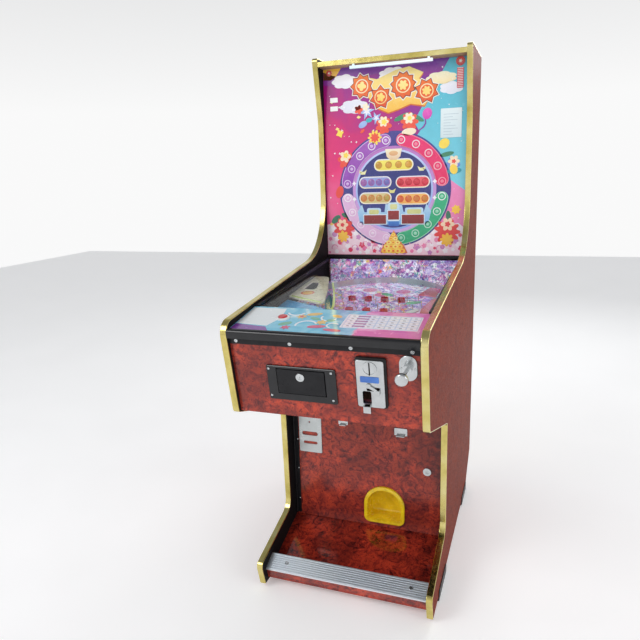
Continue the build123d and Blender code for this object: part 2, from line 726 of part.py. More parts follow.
def plunger_rod():
    """Shooter rod with a collar for the spring and a rubber-tipped end."""
    reach = PLUNGER_REACH - KNOB_LENGTH
    rod = plunger_place(reach - ROD_LENGTH + 4) * extrude(Circle(ROD_RADIUS), amount=ROD_LENGTH)
    collar = plunger_place(COLLAR_OUT) * extrude(Circle(8), amount=3)
    return rod + collar


def plunger_knob():
    """Round pull knob on the rod's end."""
    start = PLUNGER_REACH - KNOB_LENGTH
    radius = KNOB_RADIUS
    outline = Polyline((0, 0), (8, 0), (8.5, 5), (radius - 1, 10))
    outline += Line((radius - 1, 10), (radius, 13))
    outline += Line((radius, 13), (radius, 18.5))
    outline += ThreePointArc((radius, 18.5), (radius - 1.6, 22.4), (radius - 5.5, KNOB_LENGTH))
    outline += Line((radius - 5.5, KNOB_LENGTH), (0, KNOB_LENGTH))
    outline += Line((0, KNOB_LENGTH), (0, 0))
    body = revolve(Plane.XZ * make_face(outline), Axis.Z)
    socket = extrude(Circle(ROD_RADIUS), amount=4)
    return plunger_place(start) * (body - socket)


def plunger_spring():
    """Return spring round the rod, between the sleeve's shoulder and the collar."""
    coil_radius = 7
    wire = 0.8
    start = COLLAR_OUT + 3 + wire
    length = SHOULDER_OUT - wire - start
    path = Helix(pitch=length / 12, height=length, radius=coil_radius)
    section = Plane(origin=path @ 0, z_dir=path % 0) * Circle(wire)
    return plunger_place(start) * sweep(section, path)


# ---------------------------------------------------------------- playfield
def play_place(x=0, run=0, rise=0):
    """Place on the playfield: RUN is measured up the board from its front edge."""
    lean = math.radians(PLAY_TILT)
    plane = Plane(
        origin=(0, PLAY_FRONT_Y, PLAY_FRONT_Z), x_dir=(1, 0, 0), z_dir=(0, -math.sin(lean), math.cos(lean))
    )
    return plane.location * Pos(x, run, rise)


def playfield_board():
    """Tilted playing board, drilled through under each pocket."""
    board = play_place() * block((-PLAY_HALF, PLAY_HALF), (0, PLAY_LENGTH), (-12, 0))
    board -= play_place(PLUNGER_X) * block((-12, 12), (-1, NOTCH_RUN), (-30, 30))
    for x, run in POCKETS:
        board -= play_place(x, run) * Cylinder(POCKET_RADIUS, 40)
    return board


def playfield_pins():
    """Brass nails in staggered rows."""
    pins = []
    nail = extrude(Circle(PIN_RADIUS), amount=PIN_LENGTH) + Pos(0, 0, PIN_LENGTH) * Sphere(2)
    for row in range(PIN_ROWS):
        stagger = PIN_PITCH / 2 * (row % 2)
        for column in range(PIN_COLUMNS):
            x = (column - (PIN_COLUMNS - 1) / 2) * PIN_PITCH + stagger - PIN_PITCH / 4
            run = PIN_FIRST_RUN + row * PIN_ROW_PITCH
            clear = all(math.hypot(x - px, run - pr) > BALL_RADIUS + 12 for px, pr in POCKETS)
            if clear and x < LANE_LEFT_X - 20:
                pins.append(play_place(x, run) * nail)
    return Compound(pins)


def playfield_pockets():
    """Winning cups let into the board, with a raised collar."""
    cups = []
    for x, run in POCKETS:
        cup = Pos(0, 0, -14) * extrude(Circle(POCKET_RADIUS), amount=14)
        cup += extrude(Circle(POCKET_RADIUS + 3), amount=3)
        cup -= Pos(0, 0, -20) * extrude(Circle(BALL_RADIUS + 1), amount=40)
        gate = Pos(0, -BALL_RADIUS - 3, 6) * Box(BALL_RADIUS * 3, 12, 12)
        wall = extrude(Circle(POCKET_RADIUS + 3) - Circle(POCKET_RADIUS + 0.5), amount=14) - gate
        cups.append(play_place(x, run) * (cup + wall))
    return Compound(cups)


def ball_guides():
    """Launch lane wall and the arched rail round the board's top."""
    lane = block((LANE_LEFT_X - GUIDE_WALL, LANE_LEFT_X), (NOTCH_RUN, ARCH_RUN - 40), (0, GUIDE_HEIGHT))
    outer = PLAY_HALF - 4
    ring = Circle(outer) - Circle(outer - GUIDE_WALL)
    upper = ring - Pos(0, -outer) * Rectangle(outer * 3, outer * 2)
    arch = Pos(0, PLAY_LENGTH - outer - 2) * extrude(upper, amount=GUIDE_HEIGHT)
    left = block((-outer, -outer + GUIDE_WALL), (40, PLAY_LENGTH - outer - 2), (0, GUIDE_HEIGHT))
    right = block((outer - GUIDE_WALL, outer), (0, PLAY_LENGTH - outer - 2), (0, GUIDE_HEIGHT))
    ledge_x = (-outer + GUIDE_WALL / 2, PLUNGER_X - 14)
    ledge = block(ledge_x, (TROUGH_RUN, TROUGH_RUN + GUIDE_WALL), (0, GUIDE_HEIGHT / 2))
    return play_place() * (lane + arch + left + right + ledge)


def corner_arch():
    """Moulded cover raised on posts over the board's left side, open in its middle."""
    outline = FilletPolyline(*ARCH_OUTLINE, radius=ARCH_OUTLINE_RADII, close=True)
    opening = FilletPolyline(*ARCH_OPENING, radius=ARCH_OPENING_RADII, close=True)
    cover = extrude(make_face(outline) - make_face(opening), amount=ARCH_PLATE)
    for x, run in ARCH_POSTS:
        cover += Pos(x, run, -ARCH_RISE) * extrude(Circle(4), amount=ARCH_RISE)
    return play_place(0, 0, ARCH_RISE) * cover


def playfield_glass():
    plane = slope_plane(APRON_REAR, GLASS_REAR)
    length = slope_length(APRON_REAR, GLASS_REAR)
    return plane.location * block((-GLASS_HALF, GLASS_HALF), (1, length - 3), (-GLASS_THICKNESS, 0))


def glass_channels():
    """Black side channels that hold the glass, and the rail under the art panel."""
    plane = slope_plane(APRON_REAR, GLASS_REAR)
    length = slope_length(APRON_REAR, GLASS_REAR)
    channel = block((INNER - 12, INNER), (1, length - 14), (-9, 5))
    channel -= block((INNER - 20, GLASS_HALF), (-5, length), (-GLASS_THICKNESS, 0))
    right = plane.location * channel
    rail_y = (ART_FACE_Y - 12, ART_FACE_Y + ART_THICKNESS)
    rail = block((-INNER, INNER), rail_y, (GLASS_REAR[1] + 1, ART_Z[0]))
    return Compound([right, mirrored(right), rail])


def steel_balls():
    """Balls waiting in the trough at the board's front, and one in the launch lane."""
    balls = []
    run = TROUGH_RUN + GUIDE_WALL + BALL_RADIUS
    for index in range(BALL_COUNT):
        x = -200 + index * (2 * BALL_RADIUS + 1.5)
        balls.append(play_place(x, run, BALL_RADIUS) * Sphere(BALL_RADIUS))
    return Compound(balls)


# ---------------------------------------------------------------- head
def backglass():
    return block((-INNER, INNER), (ART_FACE_Y, ART_FACE_Y + ART_THICKNESS), ART_Z)


def lamp_board():
    """Board of bulbs behind the art panel."""
    board = block(grown((-INNER, INNER), -4), (LAMP_BOARD_Y, LAMP_BOARD_Y + 12), grown(ART_Z, -20))
    bulb = extrude(Circle(5), amount=12) + Pos(0, 0, 12) * Sphere(5.5)
    for index in range(RING_LAMPS):
        angle = 2 * math.pi * index / RING_LAMPS
        x = RING_CENTRE[0] + RING_RADIUS * math.cos(angle)
        z = RING_CENTRE[1] + RING_RADIUS * math.sin(angle)
        board += Pos(x, LAMP_BOARD_Y, z) * Rot(90, 0, 0) * bulb
    return board


def light_bar():
    """Tube light under the roof, in front of the art."""
    bar = block(TUBE_X, (-311, -299), TUBE_Z)
    bar = fillet(bar.edges().filter_by(Axis.X).group_by(Axis.Z)[0], 3)
    for x in (TUBE_X[0] + 10, TUBE_X[1] - 10 - CLIP_WIDTH):
        bar += block((x, x + CLIP_WIDTH), (-310, -300), (TUBE_Z[1], ROOF_Z[0]))
    return bar


def rear_door():
    board = block(REAR_DOOR_X, (-REAR_DOOR_THICKNESS, 0), REAR_DOOR_Z)
    for x in VENT_X:
        for z in VENT_Z:
            board -= Pos(x, 0, z) * Box(*VENT_SIZE)
    return board - REAR_LOCK_PLACE * Cylinder(LOCK_BARREL_RADIUS, 60)


def rear_hinge_fixed():
    """Leaf on the side panel's rear edge, with the hinge pin in its knuckles."""
    own, other = hinge_spans(REAR_HINGE_Z, REAR_HINGE_SEGMENTS)
    plate = block((-HALF + 3, REAR_HINGE_AXIS[0]), (0, HINGE_LEAF), REAR_HINGE_Z)
    leaf = hinge_leaf(plate, REAR_HINGE_AXIS, REAR_HINGE_RADIUS, own, other, HINGE_PIN_RADIUS, REAR_HINGE_Z)
    pin = Pos(*REAR_HINGE_AXIS, REAR_HINGE_Z[0]) * extrude(
        Circle(HINGE_PIN_RADIUS), amount=REAR_HINGE_Z[1] - REAR_HINGE_Z[0]
    )
    return leaf + pin


def rear_hinge_moving():
    """Leaf on the rear door's outer face."""
    other, own = hinge_spans(REAR_HINGE_Z, REAR_HINGE_SEGMENTS)
    plate = block((REAR_HINGE_AXIS[0], REAR_DOOR_X[0] + 22), (0, HINGE_LEAF), REAR_HINGE_Z)
    bore = HINGE_PIN_RADIUS + HINGE_CLEARANCE
    return hinge_leaf(plate, REAR_HINGE_AXIS, REAR_HINGE_RADIUS, own, other, bore, REAR_HINGE_Z)


def rear_lock_body():
    return REAR_LOCK_PLACE * lever_lock_body(LOCK_HEAD_RADIUS, 3, REAR_LOCK_BARREL)


def rear_lock_plug():
    """Rest is unlocked, with the cam hanging.  A quarter turn takes it behind the batten."""
    return REAR_LOCK_PLACE * lever_lock_plug(2.2, REAR_LOCK_BARREL, REAR_CAM_LENGTH, 90)


# ---------------------------------------------------------------- lower door
def cup_outline(inset):
    """Arch-topped outline of the payout cup, in the door's plane."""
    arch = (CUP_X[1] - CUP_X[0]) / 2 - 0.1
    corners = [
        (CUP_X[0], CUP_Z[0], CUP_CORNER),
        (CUP_X[1], CUP_Z[0], CUP_CORNER),
        (CUP_X[1], CUP_Z[1], arch),
        (CUP_X[0], CUP_Z[1], arch),
    ]
    return inset_outline(corners, [inset] * len(corners))


def door_prism(face, near, far):
    """Door-plane face extruded from NEAR to FAR, measured out of the door's face."""
    return extrude(Plane.XZ.offset(-DOOR_FACE_Y + near) * face, amount=far - near)


def lower_door():
    """Door board with its cup and lock openings."""
    board = block(DOOR_X, (DOOR_FACE_Y, DOOR_REAR_Y), DOOR_Z)
    board -= door_prism(cup_outline(CUP_RIM - CUP_WALL - 0.3), -40, 20)
    return board - on_door(*DOOR_LOCK) * Cylinder(LOCK_BARREL_RADIUS, 80)


def payout_cup():
    """Moulded tray: a proud rim and a deep bowl, open at the top for the hopper's balls."""
    rim = door_prism(cup_outline(0), 0, CUP_PROUD)
    rim = fillet(rim.faces().sort_by(Axis.Y)[0].edges(), 3)
    bowl = door_prism(cup_outline(CUP_RIM - CUP_WALL), -CUP_DEPTH, 0)
    bowl = fillet(bowl.faces().sort_by(Axis.Y)[-1].edges(), 12)
    hollow = door_prism(cup_outline(CUP_RIM), -CUP_DEPTH + CUP_WALL, CUP_PROUD + 5)
    hollow = fillet(hollow.faces().sort_by(Axis.Y)[-1].edges(), 9)
    inlet = Pos((CUP_X[0] + CUP_X[1]) / 2, DOOR_FACE_Y + CUP_DEPTH - 22, CUP_Z[1] - 12) * Box(46, 26, 40)
    return rim + bowl - hollow - inlet


def service_plate():
    """Plate with a screw hole and two finger slots, screwed to the door."""
    plate = on_door(0, 0) * rounded_plate(PLATE_X, PLATE_Z, PLATE_THICKNESS, 4)
    plate -= on_door(*PLATE_HOLE) * Cylinder(PLATE_HOLE_RADIUS, 20)
    for x, z, length, height in PLATE_SLOTS:
        plate -= on_door(x, z) * extrude(SlotOverall(length, height), amount=20, both=True)
    return plate


def door_lock_body():
    return on_door(*DOOR_LOCK) * lever_lock_body(LOCK_HEAD_RADIUS, 4, DOOR_LOCK_BARREL)


def door_lock_plug():
    """Rest is unlocked, with the cam hanging.  A quarter turn takes it behind the strike."""
    return on_door(*DOOR_LOCK) * lever_lock_plug(3, DOOR_LOCK_BARREL, DOOR_CAM_LENGTH, -90)


def door_strike():
    """Angle bracket on the right-hand side panel that the lock's cam turns behind."""
    leg = block((INNER - 2, INNER), (-672, -630), (DOOR_LOCK[1] - 25, DOOR_LOCK[1] + 25))
    tab = block((INNER - 28, INNER), (-672, -670), (DOOR_LOCK[1] - 25, DOOR_LOCK[1] + 25))
    return leg + tab


def tab_bracket(x, z, width, height, reach):
    """Bent tab screwed flat on the door, with a drilled ear standing out of it."""
    base = on_door(x, z) * extrude(RectangleRounded(width, height, 3), amount=1.6)
    ear = on_door(x, z - height / 2 + 1, 0) * block((-width / 3, width / 3), (-1, 0.8), (0, reach))
    return base + ear - on_door(x, z, reach * 0.5) * Rot(90, 0, 0) * Cylinder(1.6, height * 3)


def door_tabs():
    """Two bright tabs near the door's top edge."""
    return Compound([tab_bracket(*tab) for tab in DOOR_TABS])


def door_hinge_fixed_leaf():
    """Leaf on the left side panel's inner face."""
    own, other = hinge_spans(FRONT_HINGE_Z, HINGE_SEGMENTS)
    plate = block((-INNER, -INNER + HINGE_LEAF), (FRONT_HINGE_AXIS[1], DOOR_REAR_Y - 4), FRONT_HINGE_Z)
    return hinge_leaf(plate, FRONT_HINGE_AXIS, HINGE_RADIUS, own, other, HINGE_PIN_RADIUS, FRONT_HINGE_Z)


def door_hinge_moving_leaf():
    """Leaf on the door's face."""
    other, own = hinge_spans(FRONT_HINGE_Z, HINGE_SEGMENTS)
    leaf_x = (FRONT_HINGE_AXIS[0], DOOR_X[0] + 14)
    plate = block(leaf_x, (DOOR_FACE_Y - HINGE_LEAF, DOOR_FACE_Y), FRONT_HINGE_Z)
    bore = HINGE_PIN_RADIUS + HINGE_CLEARANCE
    return hinge_leaf(plate, FRONT_HINGE_AXIS, HINGE_RADIUS, own, other, bore, FRONT_HINGE_Z)


def door_hinge_pin():
    length = FRONT_HINGE_Z[1] - FRONT_HINGE_Z[0]
    return Pos(*FRONT_HINGE_AXIS, FRONT_HINGE_Z[0]) * extrude(Circle(HINGE_PIN_RADIUS), amount=length)


# ---------------------------------------------------------------- works inside
def power_box():
    """Supply unit on the base board, with a mains inlet on its rear face."""
    case = block((-240, -90), (-200, -60), (BASE_TOP, BASE_TOP + 90))
    case = fillet(case.edges().filter_by(Axis.Z), 4)
    inlet = block(INLET_X, (-60, -1), INLET_Z)
    socket = block((INLET_X[0] + 6, INLET_X[1] - 6), (-18, 10), (INLET_Z[0] + 5, INLET_Z[1] - 5))
    shape = case + inlet - socket
    for index in range(FIN_COUNT):
        x = FIN_START_X + index * FIN_PITCH
        shape += block((x, x + FIN_WIDTH), (-196, -64), (BASE_TOP + 90, BASE_TOP + 98))
    return shape


def hopper_place():
    """Hopper disc's axis, with local Z pointing up and towards the door."""
    return Pos(HOPPER_CENTRE[0], HOPPER_CENTRE[1], HOPPER_HEIGHT) * Rot(HOPPER_AXIS_TILT, 0, 0)


def payout_hopper():
    """Ball hopper: a round bowl over its motor, on a foot bracket."""
    bowl = Cylinder(HOPPER_DISC_RADIUS + 8, 90) - Pos(0, 0, 6) * Cylinder(HOPPER_DISC_RADIUS + 2, 90)
    bowl -= Pos(0, 0, -40) * Cylinder(5 + ROD_CLEARANCE, 60)
    motor = Pos(0, 0, -60) * (Cylinder(28, 30) - Cylinder(5 + ROD_CLEARANCE, 40))
    body = hopper_place() * (bowl + motor)
    foot = block((HOPPER_CENTRE[0] - 70, HOPPER_CENTRE[0] + 70), (-530, -380), (BASE_TOP, BASE_TOP + 3))
    posts = [
        block((HOPPER_CENTRE[0] + x, HOPPER_CENTRE[0] + x + 4), (-500, -410), (BASE_TOP, 158))
        for x in (-68, 64)
    ]
    room = hopper_place() * Cylinder(HOPPER_DISC_RADIUS + 2, 78)
    return body + foot + posts[0] - room + (posts[1] - room)


def hopper_disc():
    """Pick-up disc with ball holes, on its spindle."""
    disc = Pos(0, 0, -36) * extrude(Circle(HOPPER_DISC_RADIUS), amount=6)
    for index in range(HOPPER_HOLES):
        angle = 2 * math.pi * index / HOPPER_HOLES
        reach = HOPPER_DISC_RADIUS - BALL_RADIUS - 6
        disc -= Pos(reach * math.cos(angle), reach * math.sin(angle), -36) * Cylinder(BALL_RADIUS + 1, 20)
    spindle = Pos(0, 0, -70) * extrude(Circle(5), amount=46)
    return hopper_place() * (disc + spindle)


def cabinet_screws():
    """Screw heads on the strip, the drawer bezel, the plunger plate and the tread."""
    screws = step_screws()
    strip_off = PANEL_OFF + STRIP_PROUD
    for x in STRIP_SCREW_X:
        screws.append(on_front(x, STRIP_SCREW_V, strip_off) * pan_screw(*STRIP_SCREW))
    bezel_off = PANEL_OFF + BEZEL_PROUD
    for x in BEZEL_SCREW_X:
        for v in BEZEL_SCREW_V:
            screws.append(on_front(x, v, bezel_off) * pan_screw(*BEZEL_SCREW))
    for x in (PLUNGER_X - PLUNGER_SCREW_REACH, PLUNGER_X + PLUNGER_SCREW_REACH):
        screws.append(on_front(x, PLUNGER_V, PANEL_OFF + PLUNGER_PLATE) * pan_screw(*PLUNGER_SCREW))
    return Compound(screws)


PIECES = {
    "side_panel_left": lambda: mirrored(side_panel_right()),
    "side_panel_right": side_panel_right,
    "edge_moulding_left": lambda: mirrored(edge_moulding_right()),
    "edge_moulding_right": edge_moulding_right,
}
for maker in (
    glide_feet, base_board, toe_deck, kick_board, step_plate, underside_board, roof_board,
    header_moulding, back_panels, front_panel, screw_strip, front_moulding, apron_panel,
    button_bezel, button_cap, coin_box_bezel, coin_drawer, drawer_lock_body, drawer_lock_plug,
    coin_plate, coin_mech_body, coin_reject_lever, plunger_housing, plunger_rod, plunger_knob,
    plunger_spring, playfield_board, playfield_pins, playfield_pockets, ball_guides, corner_arch,
    playfield_glass, glass_channels, steel_balls, backglass, lamp_board, light_bar, rear_door,
    rear_hinge_fixed, rear_hinge_moving, rear_lock_body, rear_lock_plug, lower_door, payout_cup,
    service_plate, door_lock_body, door_lock_plug, door_strike, door_tabs, door_hinge_fixed_leaf,
    door_hinge_moving_leaf, door_hinge_pin, power_box, payout_hopper, hopper_disc, cabinet_screws,
):
    PIECES[maker.__name__] = maker

os.makedirs("parts", exist_ok=True)
for name, make in PIECES.items():
    export_step(TO_ROW * make(), f"parts/{name}.step")
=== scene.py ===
import json
import math

import bmesh
import bpy
from mathutils import Matrix, Vector


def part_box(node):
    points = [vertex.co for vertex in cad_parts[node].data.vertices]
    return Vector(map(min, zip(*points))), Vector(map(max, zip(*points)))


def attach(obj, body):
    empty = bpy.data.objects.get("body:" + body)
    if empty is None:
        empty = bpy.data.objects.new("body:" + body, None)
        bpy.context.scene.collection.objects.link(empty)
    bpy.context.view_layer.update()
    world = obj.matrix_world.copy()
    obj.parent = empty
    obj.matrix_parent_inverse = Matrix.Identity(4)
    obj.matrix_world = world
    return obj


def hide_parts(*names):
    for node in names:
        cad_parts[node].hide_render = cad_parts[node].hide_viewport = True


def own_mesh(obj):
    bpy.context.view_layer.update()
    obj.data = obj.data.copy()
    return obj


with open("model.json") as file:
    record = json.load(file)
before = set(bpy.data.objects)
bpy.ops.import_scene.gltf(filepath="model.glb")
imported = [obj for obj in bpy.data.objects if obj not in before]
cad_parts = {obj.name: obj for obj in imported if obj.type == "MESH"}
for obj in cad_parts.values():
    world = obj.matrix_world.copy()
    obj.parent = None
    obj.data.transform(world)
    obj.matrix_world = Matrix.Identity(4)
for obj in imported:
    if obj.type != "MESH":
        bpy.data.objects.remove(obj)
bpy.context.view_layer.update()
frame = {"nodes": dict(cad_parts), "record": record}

MM = 0.001
BODY = "cabinet"

# ---- places taken from the frame
PANEL_LOW, PANEL_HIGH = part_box("backglass")
SIDE_LOW, SIDE_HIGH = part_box("side_panel_right")
INNER_X = SIDE_LOW.x
BACK_Y = SIDE_HIGH.y
STRIP_LOW, STRIP_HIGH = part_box("screw_strip")
APRON_LOW, APRON_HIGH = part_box("apron_panel")
BOARD_LOW, BOARD_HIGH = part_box("playfield_board")


# ---- node helpers
class Shader:
    """A node material with one Principled shader, and short calls for its texture nodes."""

    def __init__(self, name, base, roughness, metallic=0.0, **sockets):
        self.material = bpy.data.materials.new(name)
        self.material.use_nodes = True
        self.nodes = self.material.node_tree.nodes
        self.links = self.material.node_tree.links
        self.bsdf = self.nodes["Principled BSDF"]
        self.set("Base Color", (*base, 1.0))
        self.set("Roughness", roughness)
        self.set("Metallic", metallic)
        for label, value in sockets.items():
            self.set(label.replace("_", " "), value)

    def plug(self, socket, value):
        """Feeds a socket from another node's output, or gives it a plain value."""
        if isinstance(value, bpy.types.NodeSocket):
            self.links.new(value, socket)
        else:
            socket.default_value = value

    def set(self, label, value):
        self.plug(self.bsdf.inputs[label], value)

    def node(self, kind, inputs, **settings):
        """Makes a node with its inputs plugged, and gives its outputs."""
        made = self.nodes.new(kind)
        for label, value in settings.items():
            setattr(made, label, value)
        for label, value in inputs.items():
            self.plug(made.inputs[label], value)
        return made.outputs

    def place(self, scale=(1, 1, 1)):
        """Object coordinates in metres, scaled."""
        where = self.node("ShaderNodeTexCoord", {})["Object"]
        return self.node("ShaderNodeMapping", {"Vector": where, "Scale": scale})["Vector"]

    def noise(self, vector, scale, detail=4.0, rough=0.55, distortion=0.0):
        inputs = {
            "Vector": vector, "Scale": scale, "Detail": detail, "Roughness": rough, "Distortion": distortion,
        }
        return self.node("ShaderNodeTexNoise", inputs)["Fac"]

    def cells(self, vector, scale, output="Color"):
        return self.node("ShaderNodeTexVoronoi", {"Vector": vector, "Scale": scale})[output]

    def ramp(self, factor, stops, interpolation="LINEAR"):
        made = self.nodes.new("ShaderNodeValToRGB")
        made.color_ramp.interpolation = interpolation
        elements = made.color_ramp.elements
        while len(elements) < len(stops):
            elements.new(0.5)
        for element, (position, colour) in zip(elements, stops):
            element.position = position
            element.color = (*colour, 1.0)
        self.plug(made.inputs["Fac"], factor)
        return made.outputs["Color"]

    def mix(self, factor, first, second):
        inputs = {0: factor}
        for index, value in ((6, first), (7, second)):
            inputs[index] = value if isinstance(value, bpy.types.NodeSocket) else (*value, 1.0)
        return self.node("ShaderNodeMix", inputs, data_type="RGBA")[2]

    def math(self, operation, first, second=0.0):
        return self.node("ShaderNodeMath", {0: first, 1: second}, operation=operation)[0]

    def span(self, value, low, high, new_low=0.0, new_high=1.0):
        inputs = {
            "Value": value, "From Min": low, "From Max": high, "To Min": new_low, "To Max": new_high,
        }
        return self.node("ShaderNodeMapRange", inputs)["Result"]

    def axis(self, index):
        """One object coordinate as a value."""
        where = self.node("ShaderNodeTexCoord", {})["Object"]
        return self.node("ShaderNodeSeparateXYZ", {0: where})[index]

    def colour(self, source):
        self.set("Base Color", source)

    def roughness(self, source):
        self.set("Roughness", source)

    def glow(self, source, strength):
        self.set("Emission Color", source)
        self.set("Emission Strength", strength)

    def bump(self, height, strength, distance):
        inputs = {"Height": height, "Strength": strength, "Distance": distance}
        self.set("Normal", self.node("ShaderNodeBump", inputs)["Normal"])


# ---- materials
def burl(name, deep, mid, bright, roughness, coat=0.15, level=0.35, cloudy=0.55):
    """Printed burl laminate: flamed figure, dark knots and fine dark veins under a clear skin."""
    s = Shader(name, mid, roughness, Coat_Weight=coat, Coat_Roughness=0.06, Specular_IOR_Level=level)
    place = s.place()
    flame = s.noise(place, 30, 8, 0.68, 1.6)
    drift = s.noise(place, 8, 3, 0.5, 0.8)
    body = s.ramp(flame, [(0.36, deep), (0.47, mid), (0.58, bright), (0.74, mid)])
    flecks = s.noise(place, 120, 4, 0.7, 1.2)
    flecked = s.mix(s.span(flecks, 0.47, 0.38, 0.0, 0.8), body, deep)
    clouds = s.span(drift, 0.4, 0.6, cloudy, 0.0)
    s.colour(s.mix(clouds, flecked, deep))
    s.roughness(s.span(s.noise(place, 240, 3), 0.3, 0.7, roughness * 0.8, roughness * 1.25))
    s.bump(flame, 0.04, 0.0003)
    return s


def side_laminate():
    """Side panels: burl laminate outside, in darker and flatter colours than the front burl as painted shade,
    matt black on the face that looks inwards.
    """
    # Darker, flatter burl colours than the front's: painted shade for a side turned from the light.
    s = burl(
        "side_laminate", (0.12, 0.012, 0.004), (0.205, 0.023, 0.006), (0.25, 0.032, 0.008), 0.45,
        coat=0.0, level=0.12, cloudy=0.25,
    )
    s.set("IOR", 1.2)
    figured = s.bsdf.inputs["Base Color"].links[0].from_socket
    distance = s.math("ABSOLUTE", s.axis(0))
    inside = s.math("LESS_THAN", distance, INNER_X + 0.0006)
    s.colour(s.mix(inside, figured, (0.012, 0.011, 0.012)))
    return s


def gold_moulding():
    """Metallised plastic edge strip with a faint drawn grain."""
    s = Shader("gold_moulding", (0.66, 0.52, 0.1), 0.2, 1.0)
    place = s.place()
    drift = s.noise(place, 12, 3)
    stops = [(0.3, (0.5, 0.41, 0.1)), (0.5, (0.68, 0.57, 0.2)), (0.75, (0.78, 0.7, 0.34))]
    s.colour(s.ramp(drift, stops))
    s.roughness(s.span(s.noise(place, 90, 4), 0.3, 0.7, 0.13, 0.27))
    s.bump(s.noise(s.place((700, 700, 700)), 1.0, 2), 0.02, 0.0002)
    return s


def plastic(name, base, roughness, grain=0.05, **sockets):
    """Moulded plastic: a slight tone drift, fine grain and an uneven gloss."""
    s = Shader(name, base, roughness, **sockets)
    place = s.place()
    lighter = tuple(min(1.0, channel * 1.18 + 0.004) for channel in base)
    darker = tuple(channel * 0.82 for channel in base)
    s.colour(s.ramp(s.noise(place, 30, 4), [(0.32, darker), (0.7, lighter)]))
    s.roughness(s.span(s.noise(place, 90, 4), 0.3, 0.7, roughness * 0.78, roughness * 1.25))
    s.bump(s.noise(place, 900, 2), grain, 0.0003)
    return s


def metal(name, base, roughness, stretch=(1, 1, 1), scale=60, grain=0.05):
    """Polished or brushed metal, its grain stretched along one way, with faint handling marks."""
    s = Shader(name, base, roughness, 1.0)
    grainy = s.noise(s.place(stretch), scale, 5, 0.6)
    darker = tuple(channel * 0.84 for channel in base)
    s.colour(s.ramp(grainy, [(0.3, darker), (0.65, base)]))
    s.roughness(s.span(s.noise(s.place(), 26, 5), 0.3, 0.75, roughness * 0.7, roughness * 1.7))
    s.bump(grainy, grain, 0.0002)
    return s


def plain_board():
    """Bare plywood: long grain with darker bands."""
    s = Shader("plain_board", (0.5, 0.34, 0.19), 0.6)
    grain = s.noise(s.place((9, 9, 1.2)), 9, 7, 0.6, 1.5)
    stops = [(0.3, (0.3, 0.18, 0.09)), (0.5, (0.5, 0.34, 0.19)), (0.7, (0.62, 0.46, 0.28))]
    s.colour(s.ramp(grain, stops))
    s.bump(grain, 0.15, 0.0005)
    return s


def clear_glass():
    """Clear glass that lets lamps through to what lies below it."""
    s = Shader("clear_glass", (0.93, 0.98, 0.97), 0.02, Transmission_Weight=1.0, Specular_IOR_Level=0.4)
    s.set("IOR", 1.07)
    s.roughness(s.span(s.noise(s.place(), 14, 4), 0.3, 0.7, 0.0, 0.035))
    clear = s.node("ShaderNodeBsdfTransparent", {"Color": (0.94, 0.98, 0.97, 1.0)})[0]
    shadow = s.node("ShaderNodeLightPath", {})["Is Shadow Ray"]
    either = s.node("ShaderNodeMixShader", {0: shadow, 1: s.bsdf.outputs[0], 2: clear})[0]
    s.plug(s.nodes["Material Output"].inputs["Surface"], either)
    return s


def printed(name, low, high, index=2, span=(0.0, 1.0), speck=0.1, roughness=0.22, glow=0.0):
    """Glossy print that shades from one colour to another, with a fine dot screen."""
    s = Shader(name, low, roughness, Coat_Weight=0.6, Coat_Roughness=0.05)
    fade = s.span(s.axis(index), span[0], span[1])
    tone = s.mix(fade, low, high)
    place = s.place()
    soft = s.noise(place, 34, 4, 0.6, 0.8)
    paler = tuple(min(1, c * 1.5 + 0.08) for c in high)
    tone = s.mix(s.span(soft, 0.35, 0.75, 0.0, speck * 2.2), tone, paler)
    dots = s.cells(place, 900, "Distance")
    final = s.mix(s.span(dots, 0.25, 0.55, speck, 0.0), tone, tuple(c * 0.6 for c in low))
    s.colour(final)
    if glow:
        s.glow(final, glow)
    s.roughness(s.span(s.noise(place, 60, 3), 0.3, 0.7, roughness * 0.8, roughness * 1.3))
    return s


def art_ground():
    """Art panel's ground: hot pink at the lower left through magenta to purple at the top."""
    s = Shader("art_ground", (0.6, 0.02, 0.3), 0.18, Coat_Weight=0.8, Coat_Roughness=0.03)
    slope = s.math("ADD", s.math("MULTIPLY", s.axis(0), 0.55), s.axis(2))
    fade = s.span(slope, PANEL_LOW.z, PANEL_HIGH.z)
    warp = s.noise(s.place(), 9, 3, 0.5, 1.5)
    blend = s.math("ADD", fade, s.span(warp, 0.3, 0.7, -0.07, 0.07))
    stops = [
        (0.05, (0.82, 0.1, 0.28)),
        (0.3, (0.78, 0.015, 0.17)),
        (0.52, (0.6, 0.006, 0.16)),
        (0.72, (0.36, 0.006, 0.22)),
        (0.92, (0.2, 0.012, 0.3)),
    ]
    tone = s.ramp(blend, stops)
    s.colour(tone)
    s.glow(tone, GLOW)
    s.roughness(s.span(s.noise(s.place(), 70, 3), 0.3, 0.7, 0.12, 0.24))
    return s


